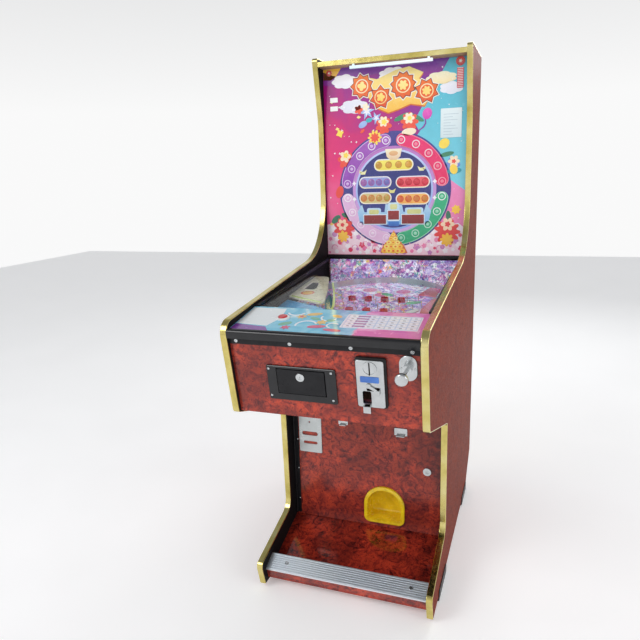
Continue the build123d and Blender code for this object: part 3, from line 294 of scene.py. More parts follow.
def playfield_print():
    """Busy printed board: overlapping cells of lavender, violet, pink, white and teal, with a painted glow
    that brightens it under the glass.
    """
    s = Shader("playfield_print", (0.3, 0.2, 0.5), 0.2, Coat_Weight=0.4, Coat_Roughness=0.06)
    place = s.place()
    warp = s.noise(place, 18, 4, 0.6, 2.4)
    across, along = s.span(warp, 0.3, 0.7, -0.03, 0.03), s.span(warp, 0.3, 0.7, 0.03, -0.03)
    offset = s.node("ShaderNodeCombineXYZ", {0: across, 1: along})[0]
    moved = s.node("ShaderNodeVectorMath", {0: place, 1: offset}, operation="ADD")[0]
    palette = [
        (0.00, (0.06, 0.03, 0.22)), (0.22, (0.56, 0.48, 0.76)), (0.34, (0.26, 0.05, 0.34)),
        (0.46, (0.74, 0.2, 0.46)), (0.54, (0.08, 0.3, 0.46)), (0.62, (0.88, 0.84, 0.92)),
        (0.72, (0.34, 0.22, 0.62)), (0.86, (0.84, 0.62, 0.76)),
    ]
    accents = [
        (0.00, (0.7, 0.05, 0.1)), (0.24, (0.9, 0.88, 0.94)), (0.42, (0.06, 0.4, 0.3)),
        (0.52, (0.86, 0.56, 0.14)), (0.62, (0.2, 0.16, 0.5)), (0.8, (0.84, 0.4, 0.6)),
    ]
    broad = s.ramp(s.cells(moved, 34), palette, "CONSTANT")
    fine = s.ramp(s.cells(moved, 110), palette, "CONSTANT")
    spots = s.ramp(s.cells(moved, 62), accents, "CONSTANT")
    ground = s.mix(s.span(s.noise(place, 46, 3), 0.44, 0.54), broad, fine)
    final = s.mix(s.span(s.noise(place, 30, 4), 0.54, 0.6), ground, spots)
    s.colour(final)
    # Painted light: emission that brightens the print where the glass shades it.
    s.glow(final, 0.3)
    s.roughness(s.span(warp, 0.3, 0.7, 0.15, 0.3))
    return s


def apron_print():
    """Apron print: sky blue with pale swirls on the left, running into pink on the right."""
    s = Shader("apron_print", (0.5, 0.7, 0.85), 0.16, Coat_Weight=0.5, Coat_Roughness=0.04)
    place = s.place()
    swirl = s.noise(place, 13, 4, 0.5, 1.6)
    blue = s.ramp(swirl, [
        (0.32, (0.06, 0.36, 0.62)), (0.46, (0.14, 0.56, 0.78)),
        (0.6, (0.26, 0.66, 0.84)), (0.72, (0.62, 0.84, 0.92)),
    ])
    pink = s.ramp(swirl, [(0.3, (0.66, 0.12, 0.42)), (0.5, (0.8, 0.24, 0.52)), (0.7, (0.88, 0.5, 0.7))])
    side = s.math("ADD", s.axis(0), s.span(swirl, 0.3, 0.7, -0.012, 0.012))
    s.colour(s.mix(s.span(side, 0.086, 0.094), blue, pink))
    return s


def ribbed_aluminium():
    """Tread metal, scuffed across the crests."""
    s = Shader("tread_metal", (0.8, 0.86, 0.92), 0.34, 0.85)
    streaks = s.noise(s.place((3, 60, 60)), 12, 6, 0.65)
    stops = [(0.3, (0.7, 0.76, 0.82)), (0.55, (0.84, 0.89, 0.94)), (0.8, (0.92, 0.95, 0.97))]
    s.colour(s.ramp(streaks, stops))
    s.roughness(s.span(streaks, 0.3, 0.7, 0.25, 0.48))
    s.bump(streaks, 0.08, 0.0003)
    return s


def studio_floor():
    """Pale floor, a little self-lit."""
    s = Shader("studio_floor", (0.93, 0.93, 0.93), 0.6)
    s.colour(s.ramp(s.noise(s.place(), 2.5, 3), [(0.3, (0.92, 0.92, 0.92)), (0.7, (0.96, 0.96, 0.96))]))
    s.glow((1.0, 1.0, 1.0, 1.0), 0.22)
    return s


# Strength of the light that the art panel lets through.
GLOW = 0.05

SURFACES = {
    "burl_laminate": burl(
        "burl_laminate", (0.09, 0.013, 0.014), (0.35, 0.04, 0.027), (0.56, 0.066, 0.03), 0.22
    ),
    "side_laminate": side_laminate(),
    "deck_laminate": burl(
        "deck_laminate", (0.045, 0.005, 0.006), (0.3, 0.026, 0.016), (0.52, 0.05, 0.022), 0.1,
        coat=0.6, level=0.5,
    ),
    "plain_board": plain_board(),
    "playfield": playfield_print(),
    "gold_moulding": gold_moulding(),
    "black_plastic": plastic("black_plastic", (0.009, 0.009, 0.01), 0.38, 0.03, Specular_IOR_Level=0.25),
    "black_gloss": plastic("black_gloss", (0.006, 0.006, 0.008), 0.14, 0.01, Specular_IOR_Level=0.5),
    "apron_print": apron_print(),
    "art_panel": art_ground(),
    "glass": clear_glass(),
    "white_plastic": plastic("white_plastic", (0.86, 0.86, 0.85), 0.25),
    "red_plastic": plastic("red_plastic", (0.6, 0.01, 0.022), 0.16, 0.02, Coat_Weight=0.6),
    "yellow_plastic": plastic(
        "yellow_plastic", (0.9, 0.6, 0.01), 0.24, 0.03, Coat_Weight=0.4, Subsurface_Weight=0.12,
        Subsurface_Radius=(0.004, 0.002, 0.001)
    ),
    "grey_plastic": plastic("grey_plastic", (0.66, 0.58, 0.45), 0.3),
    "chrome": metal("chrome", (0.62, 0.64, 0.65), 0.16, scale=30, grain=0.02),
    "brushed": metal("brushed", (0.58, 0.61, 0.61), 0.3, (6, 6, 140), 14),
    "dark_steel": plastic("dark_steel", (0.009, 0.009, 0.011), 0.34, 0.03, Specular_IOR_Level=0.25),
    "aluminium": ribbed_aluminium(),
    "brass": metal("brass", (0.8, 0.6, 0.26), 0.2),
    "steel_ball": metal("steel_ball", (0.86, 0.86, 0.88), 0.06),
    "light_tube": printed(
        "light_tube", (0.62, 0.8, 0.9), (0.8, 0.9, 0.96), 0, (-0.15, 0.15), 0.02, 0.3, 0.25
    ),
    "zinc": metal("zinc", (0.62, 0.63, 0.62), 0.36, (4, 90, 4), 12),
}


def finish_cad_nodes():
    """Each CAD node takes the procedural material of its slot."""
    for entry in frame["record"]["subparts"]:
        node = entry["node"]
        slot = "light_tube" if node == "light_bar" else entry["material_slot"]
        mesh = frame["nodes"][node].data
        for index in range(len(mesh.materials)):
            mesh.materials[index] = SURFACES[slot].material


# ---- mesh helpers
def add_object(name, mesh, surface, smooth=False):
    """Puts a finished mesh in the scene."""
    bmesh.ops.recalc_face_normals(mesh, faces=mesh.faces)
    data = bpy.data.meshes.new(name)
    mesh.to_mesh(data)
    mesh.free()
    made = bpy.data.objects.new(name, data)
    bpy.context.scene.collection.objects.link(made)
    data.materials.append(surface.material)
    for polygon in data.polygons:
        polygon.use_smooth = smooth
    return made


def add_piece(name, mesh, surface, body=BODY, smooth=False):
    """Piece of the machine that rides on a body."""
    piece = add_object(name, mesh, surface, smooth)
    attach(piece, body)
    return piece


def prism(mesh, outline, place, low, high):
    """Closed slab on a flat outline; place maps (u, v, height) to metres."""
    lower = [mesh.verts.new(place(u, v, low)) for u, v in outline]
    upper = [mesh.verts.new(place(u, v, high)) for u, v in outline]
    mesh.faces.new(upper)
    mesh.faces.new(list(reversed(lower)))
    count = len(outline)
    for index in range(count):
        after = (index + 1) % count
        mesh.faces.new((lower[index], lower[after], upper[after], upper[index]))


def add_slabs(name, outlines, place, low, high, surface, slot):
    """Piece made of closed slabs, one on each outline."""
    mesh = bmesh.new()
    for outline in outlines:
        prism(mesh, outline, place, low, high)
    return add_piece(name, mesh, surface)


def dome(mesh, centre, radius, height, place, base, rings=5, turns=28):
    """Rounded lens that stands on a short straight wall."""
    u, v = centre
    arcs = [math.pi / 2 * ring / rings for ring in range(rings)]
    levels = [(radius, 0.0)] + [(radius * math.cos(arc), base + height * math.sin(arc)) for arc in arcs]
    angles = [2 * math.pi * i / turns for i in range(turns)]
    rows = [
        [mesh.verts.new(place(*polar(u, v, reach, t), lift)) for t in angles]
        for reach, lift in levels
    ]
    for lower, upper in zip(rows, rows[1:]):
        for i in range(turns):
            j = (i + 1) % turns
            mesh.faces.new((lower[i], lower[j], upper[j], upper[i]))
    tip = mesh.verts.new(place(u, v, base + height))
    for i in range(turns):
        mesh.faces.new((rows[-1][i], rows[-1][(i + 1) % turns], tip))
    mesh.faces.new(list(reversed(rows[0])))


def add_domes(name, centres, radius, height, place, base, surface, body=BODY):
    """Piece made of equal lenses, one on each centre."""
    mesh = bmesh.new()
    for centre in centres:
        dome(mesh, centre, radius, height, place, base)
    return add_piece(name, mesh, surface, body, smooth=True)


def spread(step, stride):
    """Evenly spread share of one, for the STEPth of many scattered shapes."""
    return (step * stride) % 1.0


def polar(u, v, reach, t):
    """Point at a distance and an angle in radians from a centre."""
    return (u + reach * math.cos(t), v + reach * math.sin(t))


def circle(u, v, radius, turns=40):
    return oval(u, v, radius, radius, 0.0, turns)


def oval(u, v, half_u, half_v, lean=0.0, turns=36):
    """Ellipse, leaned by an angle in radians."""
    points = []
    for i in range(turns):
        t = 2 * math.pi * i / turns
        a, b = half_u * math.cos(t), half_v * math.sin(t)
        along = a * math.cos(lean) - b * math.sin(lean)
        points.append((u + along, v + a * math.sin(lean) + b * math.cos(lean)))
    return points


def rounded(u0, u1, v0, v1, radius, steps=6):
    """Rectangle with rounded corners."""
    points = []
    for cu, cv, start in (
        (u1 - radius, v1 - radius, 0), (u0 + radius, v1 - radius, 90),
        (u0 + radius, v0 + radius, 180), (u1 - radius, v0 + radius, 270),
    ):
        for step in range(steps + 1):
            t = math.radians(start + 90 * step / steps)
            points.append(polar(cu, cv, radius, t))
    return points


def star(u, v, outer, inner, tips, turn=90.0):
    """Star with its first tip at an angle in degrees."""
    points = []
    for i in range(2 * tips):
        reach = outer if i % 2 == 0 else inner
        t = math.radians(turn) + math.pi * i / tips
        points.append(polar(u, v, reach, t))
    return points


def flower(u, v, radius, petals, turn=0.0, turns=60):
    """Rounded petals about a centre."""
    points = []
    for i in range(turns):
        t = 2 * math.pi * i / turns
        reach = radius * (0.62 + 0.38 * abs(math.cos(petals * t / 2 + math.radians(turn))))
        points.append(polar(u, v, reach, t))
    return points


def arc_points(u, v, radius, start, end, steps):
    """Points along an arc, between two angles in radians."""
    angles = [start + (end - start) * i / steps for i in range(steps + 1)]
    return [polar(u, v, radius, t) for t in angles]


def arc_band(u, v, inner, outer, start, end, steps=36):
    """Curved band with rounded ends, from start to end in degrees."""
    middle, half = (inner + outer) / 2, (outer - inner) / 2
    ease = half / middle
    first, last = math.radians(start) + ease, math.radians(end) - ease
    points = arc_points(u, v, outer, first, last, steps)
    for angle, turn in ((last, 0), (first, math.pi)):
        if turn:
            points += arc_points(u, v, inner, last, first, steps)
        tip = polar(u, v, middle, angle)
        points += arc_points(*tip, half, angle + turn, angle + turn + math.pi, 8)[1:-1]
    return points


def blob(u, v, half_u, half_v, lobes, depth=0.16, turns=72):
    """Scalloped cloud outline."""
    points = []
    for i in range(turns):
        t = 2 * math.pi * i / turns
        swell = 1 + depth * abs(math.sin(lobes * t / 2)) - depth / 2
        points.append((u + half_u * swell * math.cos(t), v + half_v * swell * math.sin(t)))
    return points


# ---- art panel
# Thickness of one layer of print, in millimetres.
ART_LAYER = 0.22


def on_art(u, v, height):
    """Point on the art panel: u across and v up from its bottom centre, in millimetres."""
    return (u * MM, PANEL_LOW.y - height * MM, PANEL_LOW.z + v * MM)


ART_TOP = (PANEL_HIGH.z - PANEL_LOW.z) / MM
ART_HALF = PANEL_HIGH.x / MM - 1.0


def art(name, layer, low, high, outlines, speck=0.08):
    """Printed shapes of one colour, one layer of print above the last."""
    heights = [v for outline in outlines for _, v in outline]
    span = (PANEL_LOW.z + min(heights) * MM, PANEL_LOW.z + max(heights) * MM)
    surface = printed("print_" + name, low, high, 2, span, speck, glow=GLOW)
    inside = [
        [(max(-ART_HALF, min(ART_HALF, u)), max(1.0, min(ART_TOP - 1.0, v))) for u, v in outline]
        for outline in outlines
    ]
    return add_slabs("art_" + name, inside, on_art, 0.0, layer * ART_LAYER, surface, "art_panel")


# Lamp ring, and its lamps' angles from the end of their band.
RING = (2, 249)
LAMP_RADIUS = 185
LAMP_ANGLES = [8.5 + 18.1 * step for step in range(5)]
BAND_INNER = 161
BAND_OUTER = 210
WHITE = (0.86, 0.85, 0.88)
CREAM = (0.93, 0.85, 0.62)
NAVY = (0.02, 0.03, 0.22)
DEEP_NAVY = (0.016, 0.022, 0.17)
# Strides that scatter shapes evenly across, up and in size.
STRIDE_ACROSS = 0.618034
STRIDE_UP = 0.7548777
STRIDE_SIZE = 0.5698403


def art_backdrop():
    """Patches of sky, and the wavy blossom ground at the foot."""
    right, top = ART_HALF, ART_TOP
    art("purple_sky", 1, (0.3, 0.01, 0.26), (0.13, 0.035, 0.34), [[
        (-198, top), (203, top), (178, 657), (120, 646), (60, 668), (0, 679), (-70, 668), (-146, 660),
        (-224, 636), (-right, 644), (-right, 690), (-219, 672),
    ]])
    art("orange_corner", 1, (0.86, 0.36, 0.02), (0.92, 0.55, 0.05), [[
        (-right, top), (-199, top), (-219, 671), (-240, 660), (-right, 662),
    ]])
    art("cyan_sky", 1, (0.2, 0.62, 0.74), (0.06, 0.44, 0.58), [[
        (204, top), (right, top), (right, 241), (214, 281), (150, 330), (60, 410), (100, 456), (78, 492),
        (103, 535), (178, 657),
    ]])
    art("pink_side", 1, (0.84, 0.2, 0.42), (0.82, 0.24, 0.5), [[
        (214, 281), (right, 241), (right, 100), (214, 96), (140, 130), (150, 230),
    ]])
    wave = [(-right, 1), (right, 1)]
    steps = 24
    for step in range(steps + 1):
        u = right - 2 * right * step / steps
        wave.append((u, 78 + 22 * abs(math.sin(step * 1.15)) + 0.1 * abs(u)))
    art("blossom_ground", 2, (0.88, 0.55, 0.66), (0.9, 0.78, 0.84), [wave])


def art_blossoms():
    """Rings, petals and swirls over the pale ground at the panel's foot."""
    rosy, pale, violet, red = [], [], [], []
    for step in range(96):
        u = -262 + 524 * spread(step, 1 - STRIDE_ACROSS)
        v = 8 + (74 + 0.12 * abs(u)) * spread(step, STRIDE_UP)
        radius = 6 + 8 * spread(step, STRIDE_SIZE)
        target = (rosy, pale, violet, pale, red)[step % 5]
        target.append(flower(u, v, radius, 5, step * 31.0) if step % 2 else circle(u, v, radius * 0.8, 28))
    art("blossom_rose", 3, (0.8, 0.14, 0.34), (0.84, 0.3, 0.46), rosy)
    art("blossom_pale", 4, (0.9, 0.8, 0.86), (0.94, 0.88, 0.92), pale)
    art("blossom_violet", 5, (0.5, 0.16, 0.42), (0.62, 0.28, 0.56), violet)
    art("blossom_red", 6, (0.66, 0.03, 0.1), (0.76, 0.08, 0.16), red)
    swirls = [
        arc_band(u, 26 + 14 * (index % 2), 11, 14, 10, 200, 20)
        for index, u in enumerate(range(-240, 260, 42))
    ]
    art("blossom_rings", 7, (0.7, 0.2, 0.4), (0.8, 0.36, 0.52), swirls)


def art_clouds():
    """Scalloped clouds behind the medallions."""
    white = [
        blob(-187, 652, 46, 24, 7), blob(1, 662, 52, 24, 8),
        blob(-150, 560, 52, 24, 7), blob(212, 600, 40, 20, 6),
    ]
    art("clouds", 3, (0.7, 0.72, 0.84), (0.92, 0.92, 0.95), white)
    art("warm_clouds", 3, (0.9, 0.72, 0.36), (0.9, 0.88, 0.62), [blob(176, 636, 52, 20, 7)])


def art_burst():
    """Golden ribbon with a row of four tumbling medallions."""
    ribbon = [
        (-118, 664), (-60, 650), (10, 676), (60, 684), (112, 660), (96, 640), (150, 600), (118, 546),
        (66, 556), (20, 540), (-18, 530), (-64, 552), (-100, 600), (-150, 620),
    ]
    art("burst_edge", 4, (0.62, 0.1, 0.02), (0.74, 0.22, 0.03), [[(u, v - 5) for u, v in ribbon]])
    art("burst", 5, (0.9, 0.46, 0.02), (0.94, 0.8, 0.3), [ribbon])
    places = [(-118, 630, 50, 18), (-46, 586, 48, -12), (38, 622, 54, 8), (124, 596, 50, -20)]
    shapes = [(9, 0.76), (7, 0.7), (11, 0.8), (8, 0.72)]
    for name, layer, low, high, size in (
        ("medallion_rims", 6, (0.9, 0.84, 0.72), (0.96, 0.92, 0.84), 1.0),
        ("medallion_edges", 7, (0.1, 0.01, 0.01), (0.16, 0.02, 0.01), 0.92),
        ("medallions", 8, (0.7, 0.05, 0.01), (0.88, 0.2, 0.02), 0.85),
    ):
        art(name, layer, low, high, [
            star(u, v, r * size, r * size * inner, tips, turn)
            for (u, v, r, turn), (tips, inner) in zip(places, shapes)
        ])
    for name, layer, low, high, size in (
        ("medallion_rings", 9, (0.92, 0.6, 0.2), CREAM, 0.5),
        ("medallion_faces", 10, (0.74, 0.06, 0.01), (0.84, 0.16, 0.02), 0.42),
    ):
        art(name, layer, low, high, [circle(u, v, r * size, 36) for u, v, r, turn in places])
    art("medallion_flowers", 11, (0.92, 0.6, 0.1), (0.96, 0.8, 0.3), [
        flower(u, v, r * 0.34, 4 + i, turn) for i, (u, v, r, turn) in enumerate(places)
    ])


def art_ornaments():
    """Flowers, leaves, pinwheels and one balloon spread round the ring."""
    art("pinwheels", 6, (0.1, 0.16, 0.62), (0.4, 0.56, 0.88), [
        star(-100, 540, 32, 12, 6, 10), star(-64, 514, 24, 9, 5, 40), oval(-116, 494, 18, 11, 0.5),
        flower(222, 334, 27, 6, 8),
    ])
    art("pinwheel_vanes", 7, (0.78, 0.8, 0.92), WHITE, [
        star(-100, 540, 20, 7, 6, 25), star(-64, 514, 14, 5, 5, 60), oval(-136, 556, 24, 9, 0.3),
    ])
    art("ornament_red", 7, (0.72, 0.02, 0.03), (0.86, 0.1, 0.05), [
        flower(-36, 486, 32, 7, 20), flower(62, 494, 34, 8, 12), flower(-186, 366, 34, 6, 30),
        flower(-200, 104, 44, 9, 8), flower(206, 90, 50, 11, 5), oval(-214, 246, 15, 24, -0.3),
        flower(-132, 548, 17, 5),
    ])
    art("ornament_leaves", 6, (0.02, 0.14, 0.08), (0.05, 0.26, 0.14), [
        oval(36, 512, 34, 9, 0.35), oval(90, 506, 28, 8, -0.5), oval(-232, 140, 22, 12, 0.7),
        oval(-186, 152, 24, 10, -0.4), oval(210, 148, 9, 20, 0.1), oval(200, 372, 26, 8, 0.2),
    ])
    art("ornament_cream", 8, (0.9, 0.62, 0.4), CREAM, [
        flower(-36, 500, 20, 6, 10), flower(60, 506, 21, 6), flower(-188, 380, 23, 5),
        flower(-206, 118, 24, 6), flower(208, 118, 26, 6), flower(226, 346, 22, 6),
        oval(60, 458, 27, 13, 0.1), flower(-104, 556, 14, 5),
    ])
    art("ornament_gold", 9, (0.9, 0.45, 0.02), (0.95, 0.74, 0.1), [
        flower(-34, 498, 11, 5), flower(-204, 72, 24, 7, 20), flower(206, 60, 26, 8, 12),
        oval(190, 410, 20, 17, 0.6), flower(-186, 384, 11, 5), flower(-70, 444, 28, 10),
        star(238, 172, 19, 13, 7, 0), star(-208, 466, 17, 10, 4, 20), oval(226, 318, 14, 18, 0.3),
        flower(62, 506, 9, 5),
    ])
    art("ornament_hearts", 10, (0.7, 0.03, 0.05), (0.84, 0.08, 0.04), [
        flower(-70, 444, 18, 8), flower(-206, 118, 9, 5), flower(208, 118, 11, 5), flower(226, 346, 8, 5),
        oval(-34, 466, 18, 8, 0.4), oval(-118, 470, 10, 5, 0.7),
    ])
    art("balloon", 6, (0.62, 0.03, 0.42), (0.8, 0.12, 0.5), [oval(127, 518, 17, 20, -0.3)])
    art("balloon_string", 5, (0.2, 0.03, 0.3), (0.24, 0.05, 0.34), [[
        (118, 500), (122, 499), (124, 484), (116, 470), (100, 460),
        (96, 452), (92, 454), (98, 464), (112, 474), (119, 486),
    ]])
    art("ornament_teal", 8, (0.02, 0.28, 0.34), (0.04, 0.46, 0.52), [
        oval(228, 312, 26, 11, 0.1), oval(-92, 508, 12, 8, 0.2),
    ])


def art_sparkles():
    """Small four-pointed sparkles scattered over the sky."""
    sparkles, confetti = [], []
    for step in range(150):
        u = -255 + 510 * spread(step, STRIDE_ACROSS)
        v = 120 + 570 * spread(step, STRIDE_UP)
        if math.hypot(u - RING[0], v - RING[1]) < 224 or (abs(u) < 175 and 520 < v < 690):
            continue
        size = 2.0 + 4.5 * spread(step, STRIDE_SIZE) ** 2
        group = confetti if step % 13 == 0 else sparkles
        group.append(star(u, v, size, size * 0.34, 4, step * 17.0))
    art("sparkles", 4, WHITE, (0.95, 0.95, 0.98), sparkles)
    diamonds = [
        [(u, v + 7), (u + 10, v + 1), (u + 2, v - 5), (u - 7, v)] for (u, v), *rest in confetti
    ]
    art("confetti", 5, (0.9, 0.62, 0.1), (0.94, 0.8, 0.3), diamonds)


def art_ring():
    """Lamp ring: four coloured arcs on navy, an inner lilac ring and the navy centre."""
    cu, cv = RING
    art("ring_ground", 6, DEEP_NAVY, (0.05, 0.04, 0.26), [circle(cu, cv, 216, 120)])
    bands = {
        "crimson": (3, 87, (0.74, 0.01, 0.1), (0.8, 0.02, 0.16), (0.86, 0.2, 0.3)),
        "violet": (93, 177, (0.26, 0.05, 0.42), (0.34, 0.09, 0.46), (0.6, 0.4, 0.74)),
        "lilac": (183, 267, (0.74, 0.46, 0.68), (0.72, 0.44, 0.7), (0.84, 0.64, 0.82)),
        "green": (273, 357, (0.012, 0.36, 0.15), (0.02, 0.42, 0.2), (0.3, 0.66, 0.46)),
    }
    for name, (start, end, low, high, rim) in bands.items():
        art("band_rim_" + name, 7, rim, rim, [arc_band(cu, cv, BAND_INNER, BAND_OUTER, start, end)])
        face = arc_band(cu, cv, BAND_INNER + 3, BAND_OUTER - 3, start + 0.9, end - 0.9)
        art("band_" + name, 8, low, high, [face])
        lamps = []
        for angle in LAMP_ANGLES:
            turn = math.radians(start - 3 + (angle if name in ("crimson", "lilac") else 90 - angle))
            lamps.append(polar(cu, cv, LAMP_RADIUS, turn))
        art("lamp_rims_" + name, 9, rim, WHITE, [circle(u, v, 15, 32) for u, v in lamps])
        art("lamp_faces_" + name, 10, low, high, [circle(u, v, 11.5, 32) for u, v in lamps])
        darker = tuple(c * 0.8 for c in rim)
        surface = printed("lens_" + name, darker, rim, speck=0.2, roughness=0.1, glow=GLOW)
        add_domes("lamp_lenses_" + name, lamps, 6.5, 1.4, on_art, 10 * ART_LAYER, surface)
    art("inner_ring", 7, (0.62, 0.42, 0.78), (0.46, 0.16, 0.5), [circle(cu, cv, 162, 110)])
    art("inner_sheen", 8, (0.22, 0.36, 0.8), (0.5, 0.6, 0.9), [circle(cu, cv, 150, 110)])
    art("inner_ground", 9, NAVY, DEEP_NAVY, [circle(cu, cv, 143, 110)])
    art("ring_marks", 9, WHITE, (0.9, 0.85, 0.95), [
        star(cu + side * 156, cv + rise, 9, 5, 4, 0) for side in (-1, 1) for rise in (28, -32)
    ])


# Lozenges: name, centre, half length, body colours, then first and last lens colours.
PILLS = [
    ("yellow", 2, 342, 76, (0.84, 0.7, 0.08), (0.9, 0.78, 0.14), (0.5, 0.26, 0.03), (0.66, 0.32, 0.03)),
    ("blue", -70, 279, 64, (0.2, 0.28, 0.62), (0.3, 0.36, 0.7), (0.34, 0.1, 0.34), (0.12, 0.12, 0.4)),
    ("red", 75, 277, 65, (0.74, 0.04, 0.08), (0.82, 0.12, 0.14), (0.48, 0.01, 0.03), (0.62, 0.02, 0.05)),
    ("tan", -70, 220, 64, (0.58, 0.46, 0.16), (0.66, 0.56, 0.26), (0.6, 0.16, 0.03), (0.4, 0.3, 0.05)),
    ("orange", 75, 215, 65, (0.86, 0.36, 0.06), (0.9, 0.5, 0.14), (0.64, 0.08, 0.02), (0.56, 0.22, 0.03)),
]


def art_pills():
    """Five lozenges of four lamps each."""
    for name, u, v, half, low, high, first, last in PILLS:
        rim = rounded(u - half, u + half, v - 22, v + 22, 21.9)
        body = rounded(u - half + 4, u + half - 4, v - 18, v + 18, 17.9)
        art("pill_rim_" + name, 10, CREAM, (0.8, 0.8, 0.86), [rim])
        art("pill_" + name, 11, low, high, [body])
        across = [u + (index - 1.5) * (half * 2 - 34) / 3.1 for index in range(4)]
        art("pill_rings_" + name, 12, first, first, [circle(c, v, 13, 32) for c in across])
        span = (across[0] * MM, across[3] * MM)
        surface = printed("pill_lens_" + name, first, last, 0, span, 0.2, 0.1, GLOW)
        lenses = [(c, v) for c in across]
        add_domes("pill_lenses_" + name, lenses, 10.5, 1.6, on_art, 12 * ART_LAYER, surface)


def art_windows():
    """Score windows in pale blue frames, with tabs above them."""
    art("window_frames", 10, (0.16, 0.42, 0.74), (0.44, 0.66, 0.86), [[
        (-132, 118), (134, 118), (146, 168), (128, 196), (118, 166), (40, 166),
        (34, 196), (-30, 196), (-34, 166), (-114, 166), (-124, 196), (-142, 168),
    ]])
    art("window_tabs", 11, (0.4, 0.62, 0.84), (0.56, 0.76, 0.9), [
        rounded(-104, -48, 152, 182, 8), rounded(-20, 24, 168, 202, 8), rounded(46, 116, 152, 182, 8),
    ])
    art("window_labels", 12, (0.56, 0.58, 0.2), (0.72, 0.72, 0.34), [
        rounded(-96, -56, 158, 176, 6), rounded(-12, 16, 176, 196, 6), rounded(54, 108, 158, 176, 6),
    ])
    windows = [(-116, -28, 121, 155), (-20, 23, 137, 171), (34, 119, 121, 155)]
    border = 3
    bezels = []
    for u0, u1, v0, v1 in windows:
        bezels.append([
            (u + math.copysign(border, u - (u0 + u1) / 2), v + math.copysign(border, v - (v0 + v1) / 2))
            for u, v in rounded(u0, u1, v0, v1, 1.5)
        ])
    art("window_bezels", 13, (0.62, 0.78, 0.88), (0.72, 0.84, 0.92), bezels)
    panes = [rounded(*window, 1.5) for window in windows]
    art("windows", 14, (0.2, 0.01, 0.012), (0.3, 0.016, 0.016), panes, speck=0.02)
    art("window_foot", 13, (0.02, 0.1, 0.42), (0.04, 0.2, 0.58), [rounded(-19, 23, 112, 130, 2)])
    art("window_lines", 14, (0.7, 0.84, 0.92), WHITE, [rounded(-19, 23, 132, 135, 1)])


def art_centre():
    """Bowl at the ring's top, gold ingots and the gold mound at its foot."""
    bowl = [(-30, 400), (34, 400), (28, 372), (14, 360), (-10, 360), (-24, 372)]
    art("bowl", 13, (0.78, 0.52, 0.3), CREAM, [bowl])
    art("bowl_band", 14, (0.7, 0.34, 0.16), (0.8, 0.5, 0.24), [oval(2, 384, 17, 9)])
    profile = [(-1, 0.6), (-0.3, 0.15), (0.3, 0.15), (1, 0.6), (0.55, -0.55), (-0.55, -0.55)]
    places = [(-118, 318, 15), (108, 325, 15), (-4, 246, 15), (-128, 318, 6), (118, 325, 6)]
    ingots = [[(u + a * size, v + b * size) for a, b in profile] for u, v, size in places]
    art("ingots", 13, (0.7, 0.66, 0.2), (0.86, 0.84, 0.48), ingots)
    shadow = [(-52, 8), (56, 8), (44, 34), (22, 62), (2, 96), (-20, 62), (-42, 34)]
    art("mound_shadow", 9, (0.62, 0.1, 0.03), (0.8, 0.26, 0.04), [shadow])
    pitch = 88 / 5
    tiers = [(5, 16, 12), (4, 33, 11), (3, 49, 10), (2, 64, 9), (1, 79, 8)]
    beads = [((i - (count - 1) / 2) * pitch, v, size) for count, v, size in tiers for i in range(count)]
    rounds = [oval(u, v, size, size * 0.82) for u, v, size in beads]
    art("mound", 10, (0.92, 0.4, 0.02), (0.96, 0.74, 0.1), rounds[0::2])
    art("mound_lights", 11, (0.94, 0.6, 0.06), (0.96, 0.84, 0.24), rounds[1::2])
    centres = [oval(u, v, size * 0.4, size * 0.3) for u, v, size in beads]
    art("mound_hearts", 12, (0.76, 0.1, 0.02), (0.86, 0.24, 0.03), centres)


def art_notices():
    """Stickers, notice, badges and the striped slip, all plain."""
    stickers = [rounded(-244, -214, v, v + 17, 2) for v in (549, 580)]
    art("stickers", 10, (0.88, 0.88, 0.88), (0.92, 0.92, 0.9), stickers, speck=0.02)
    art("notice", 11, (0.62, 0.74, 0.78), (0.74, 0.84, 0.86), [rounded(176, 251, 430, 531, 2)], speck=0.02)
    reaches = (54, 34, 50, 26, 44, 52, 30, 36)
    lines = [rounded(186, 186 + reach, 510 - 10 * i, 512 - 10 * i, 0.9) for i, reach in enumerate(reaches)]
    art("notice_lines", 12, (0.46, 0.56, 0.62), (0.5, 0.6, 0.66), lines, speck=0.0)
    right, left = (242, 686), (-246, 686)
    rims, faces = [[circle(*right, a, 40), circle(*left, b, 32)] for a, b in ((16, 11), (12.5, 8))]
    art("badge_rims", 10, (0.42, 0.03, 0.04), (0.62, 0.1, 0.08), rims)
    art("badge_faces", 11, (0.6, 0.02, 0.03), (0.74, 0.08, 0.06), faces)
    art("badge_marks", 12, CREAM, WHITE, [star(*right, 8, 3.4, 6, 10), star(*left, 5, 2.2, 6, 10)])
    art("slip", 10, (0.62, 0.04, 0.08), (0.7, 0.08, 0.1), [rounded(231, 254, 597, 665, 2)])
    stripes = [rounded(233, 252, 600 + 5.6 * i, 602.4 + 5.6 * i, 1) for i in range(12)]
    art("slip_stripes", 11, (0.86, 0.62, 0.6), (0.9, 0.7, 0.66), stripes)


# ---- apron and playfield print
def sloping(start, front_top, rise):
    """Function that maps millimetres on a sloping board (across, up the slope, height) to metres."""

    def place(u, v, height):
        along, lift = v * MM, height * MM
        return (
            u * MM,
            start + along * math.cos(rise) - lift * math.sin(rise),
            front_top + along * math.sin(rise) + lift * math.cos(rise),
        )

    return place


# Apron: its slope, and its length up the slope.
APRON_RISE = math.atan2(28.0, 181.0)
APRON_RUN = 181.65 * MM
on_apron = sloping(APRON_LOW.y, APRON_HIGH.z - APRON_RUN * math.sin(APRON_RISE), APRON_RISE)

# Playfield: its slope, and the top of the raised cover above it, in millimetres.
PLAY_RISE = math.radians(4.5)
COVER_TOP = 63.0
on_board = sloping(
    BOARD_LOW.y, BOARD_HIGH.z - (BOARD_HIGH.y - BOARD_LOW.y) * math.tan(PLAY_RISE), PLAY_RISE
)


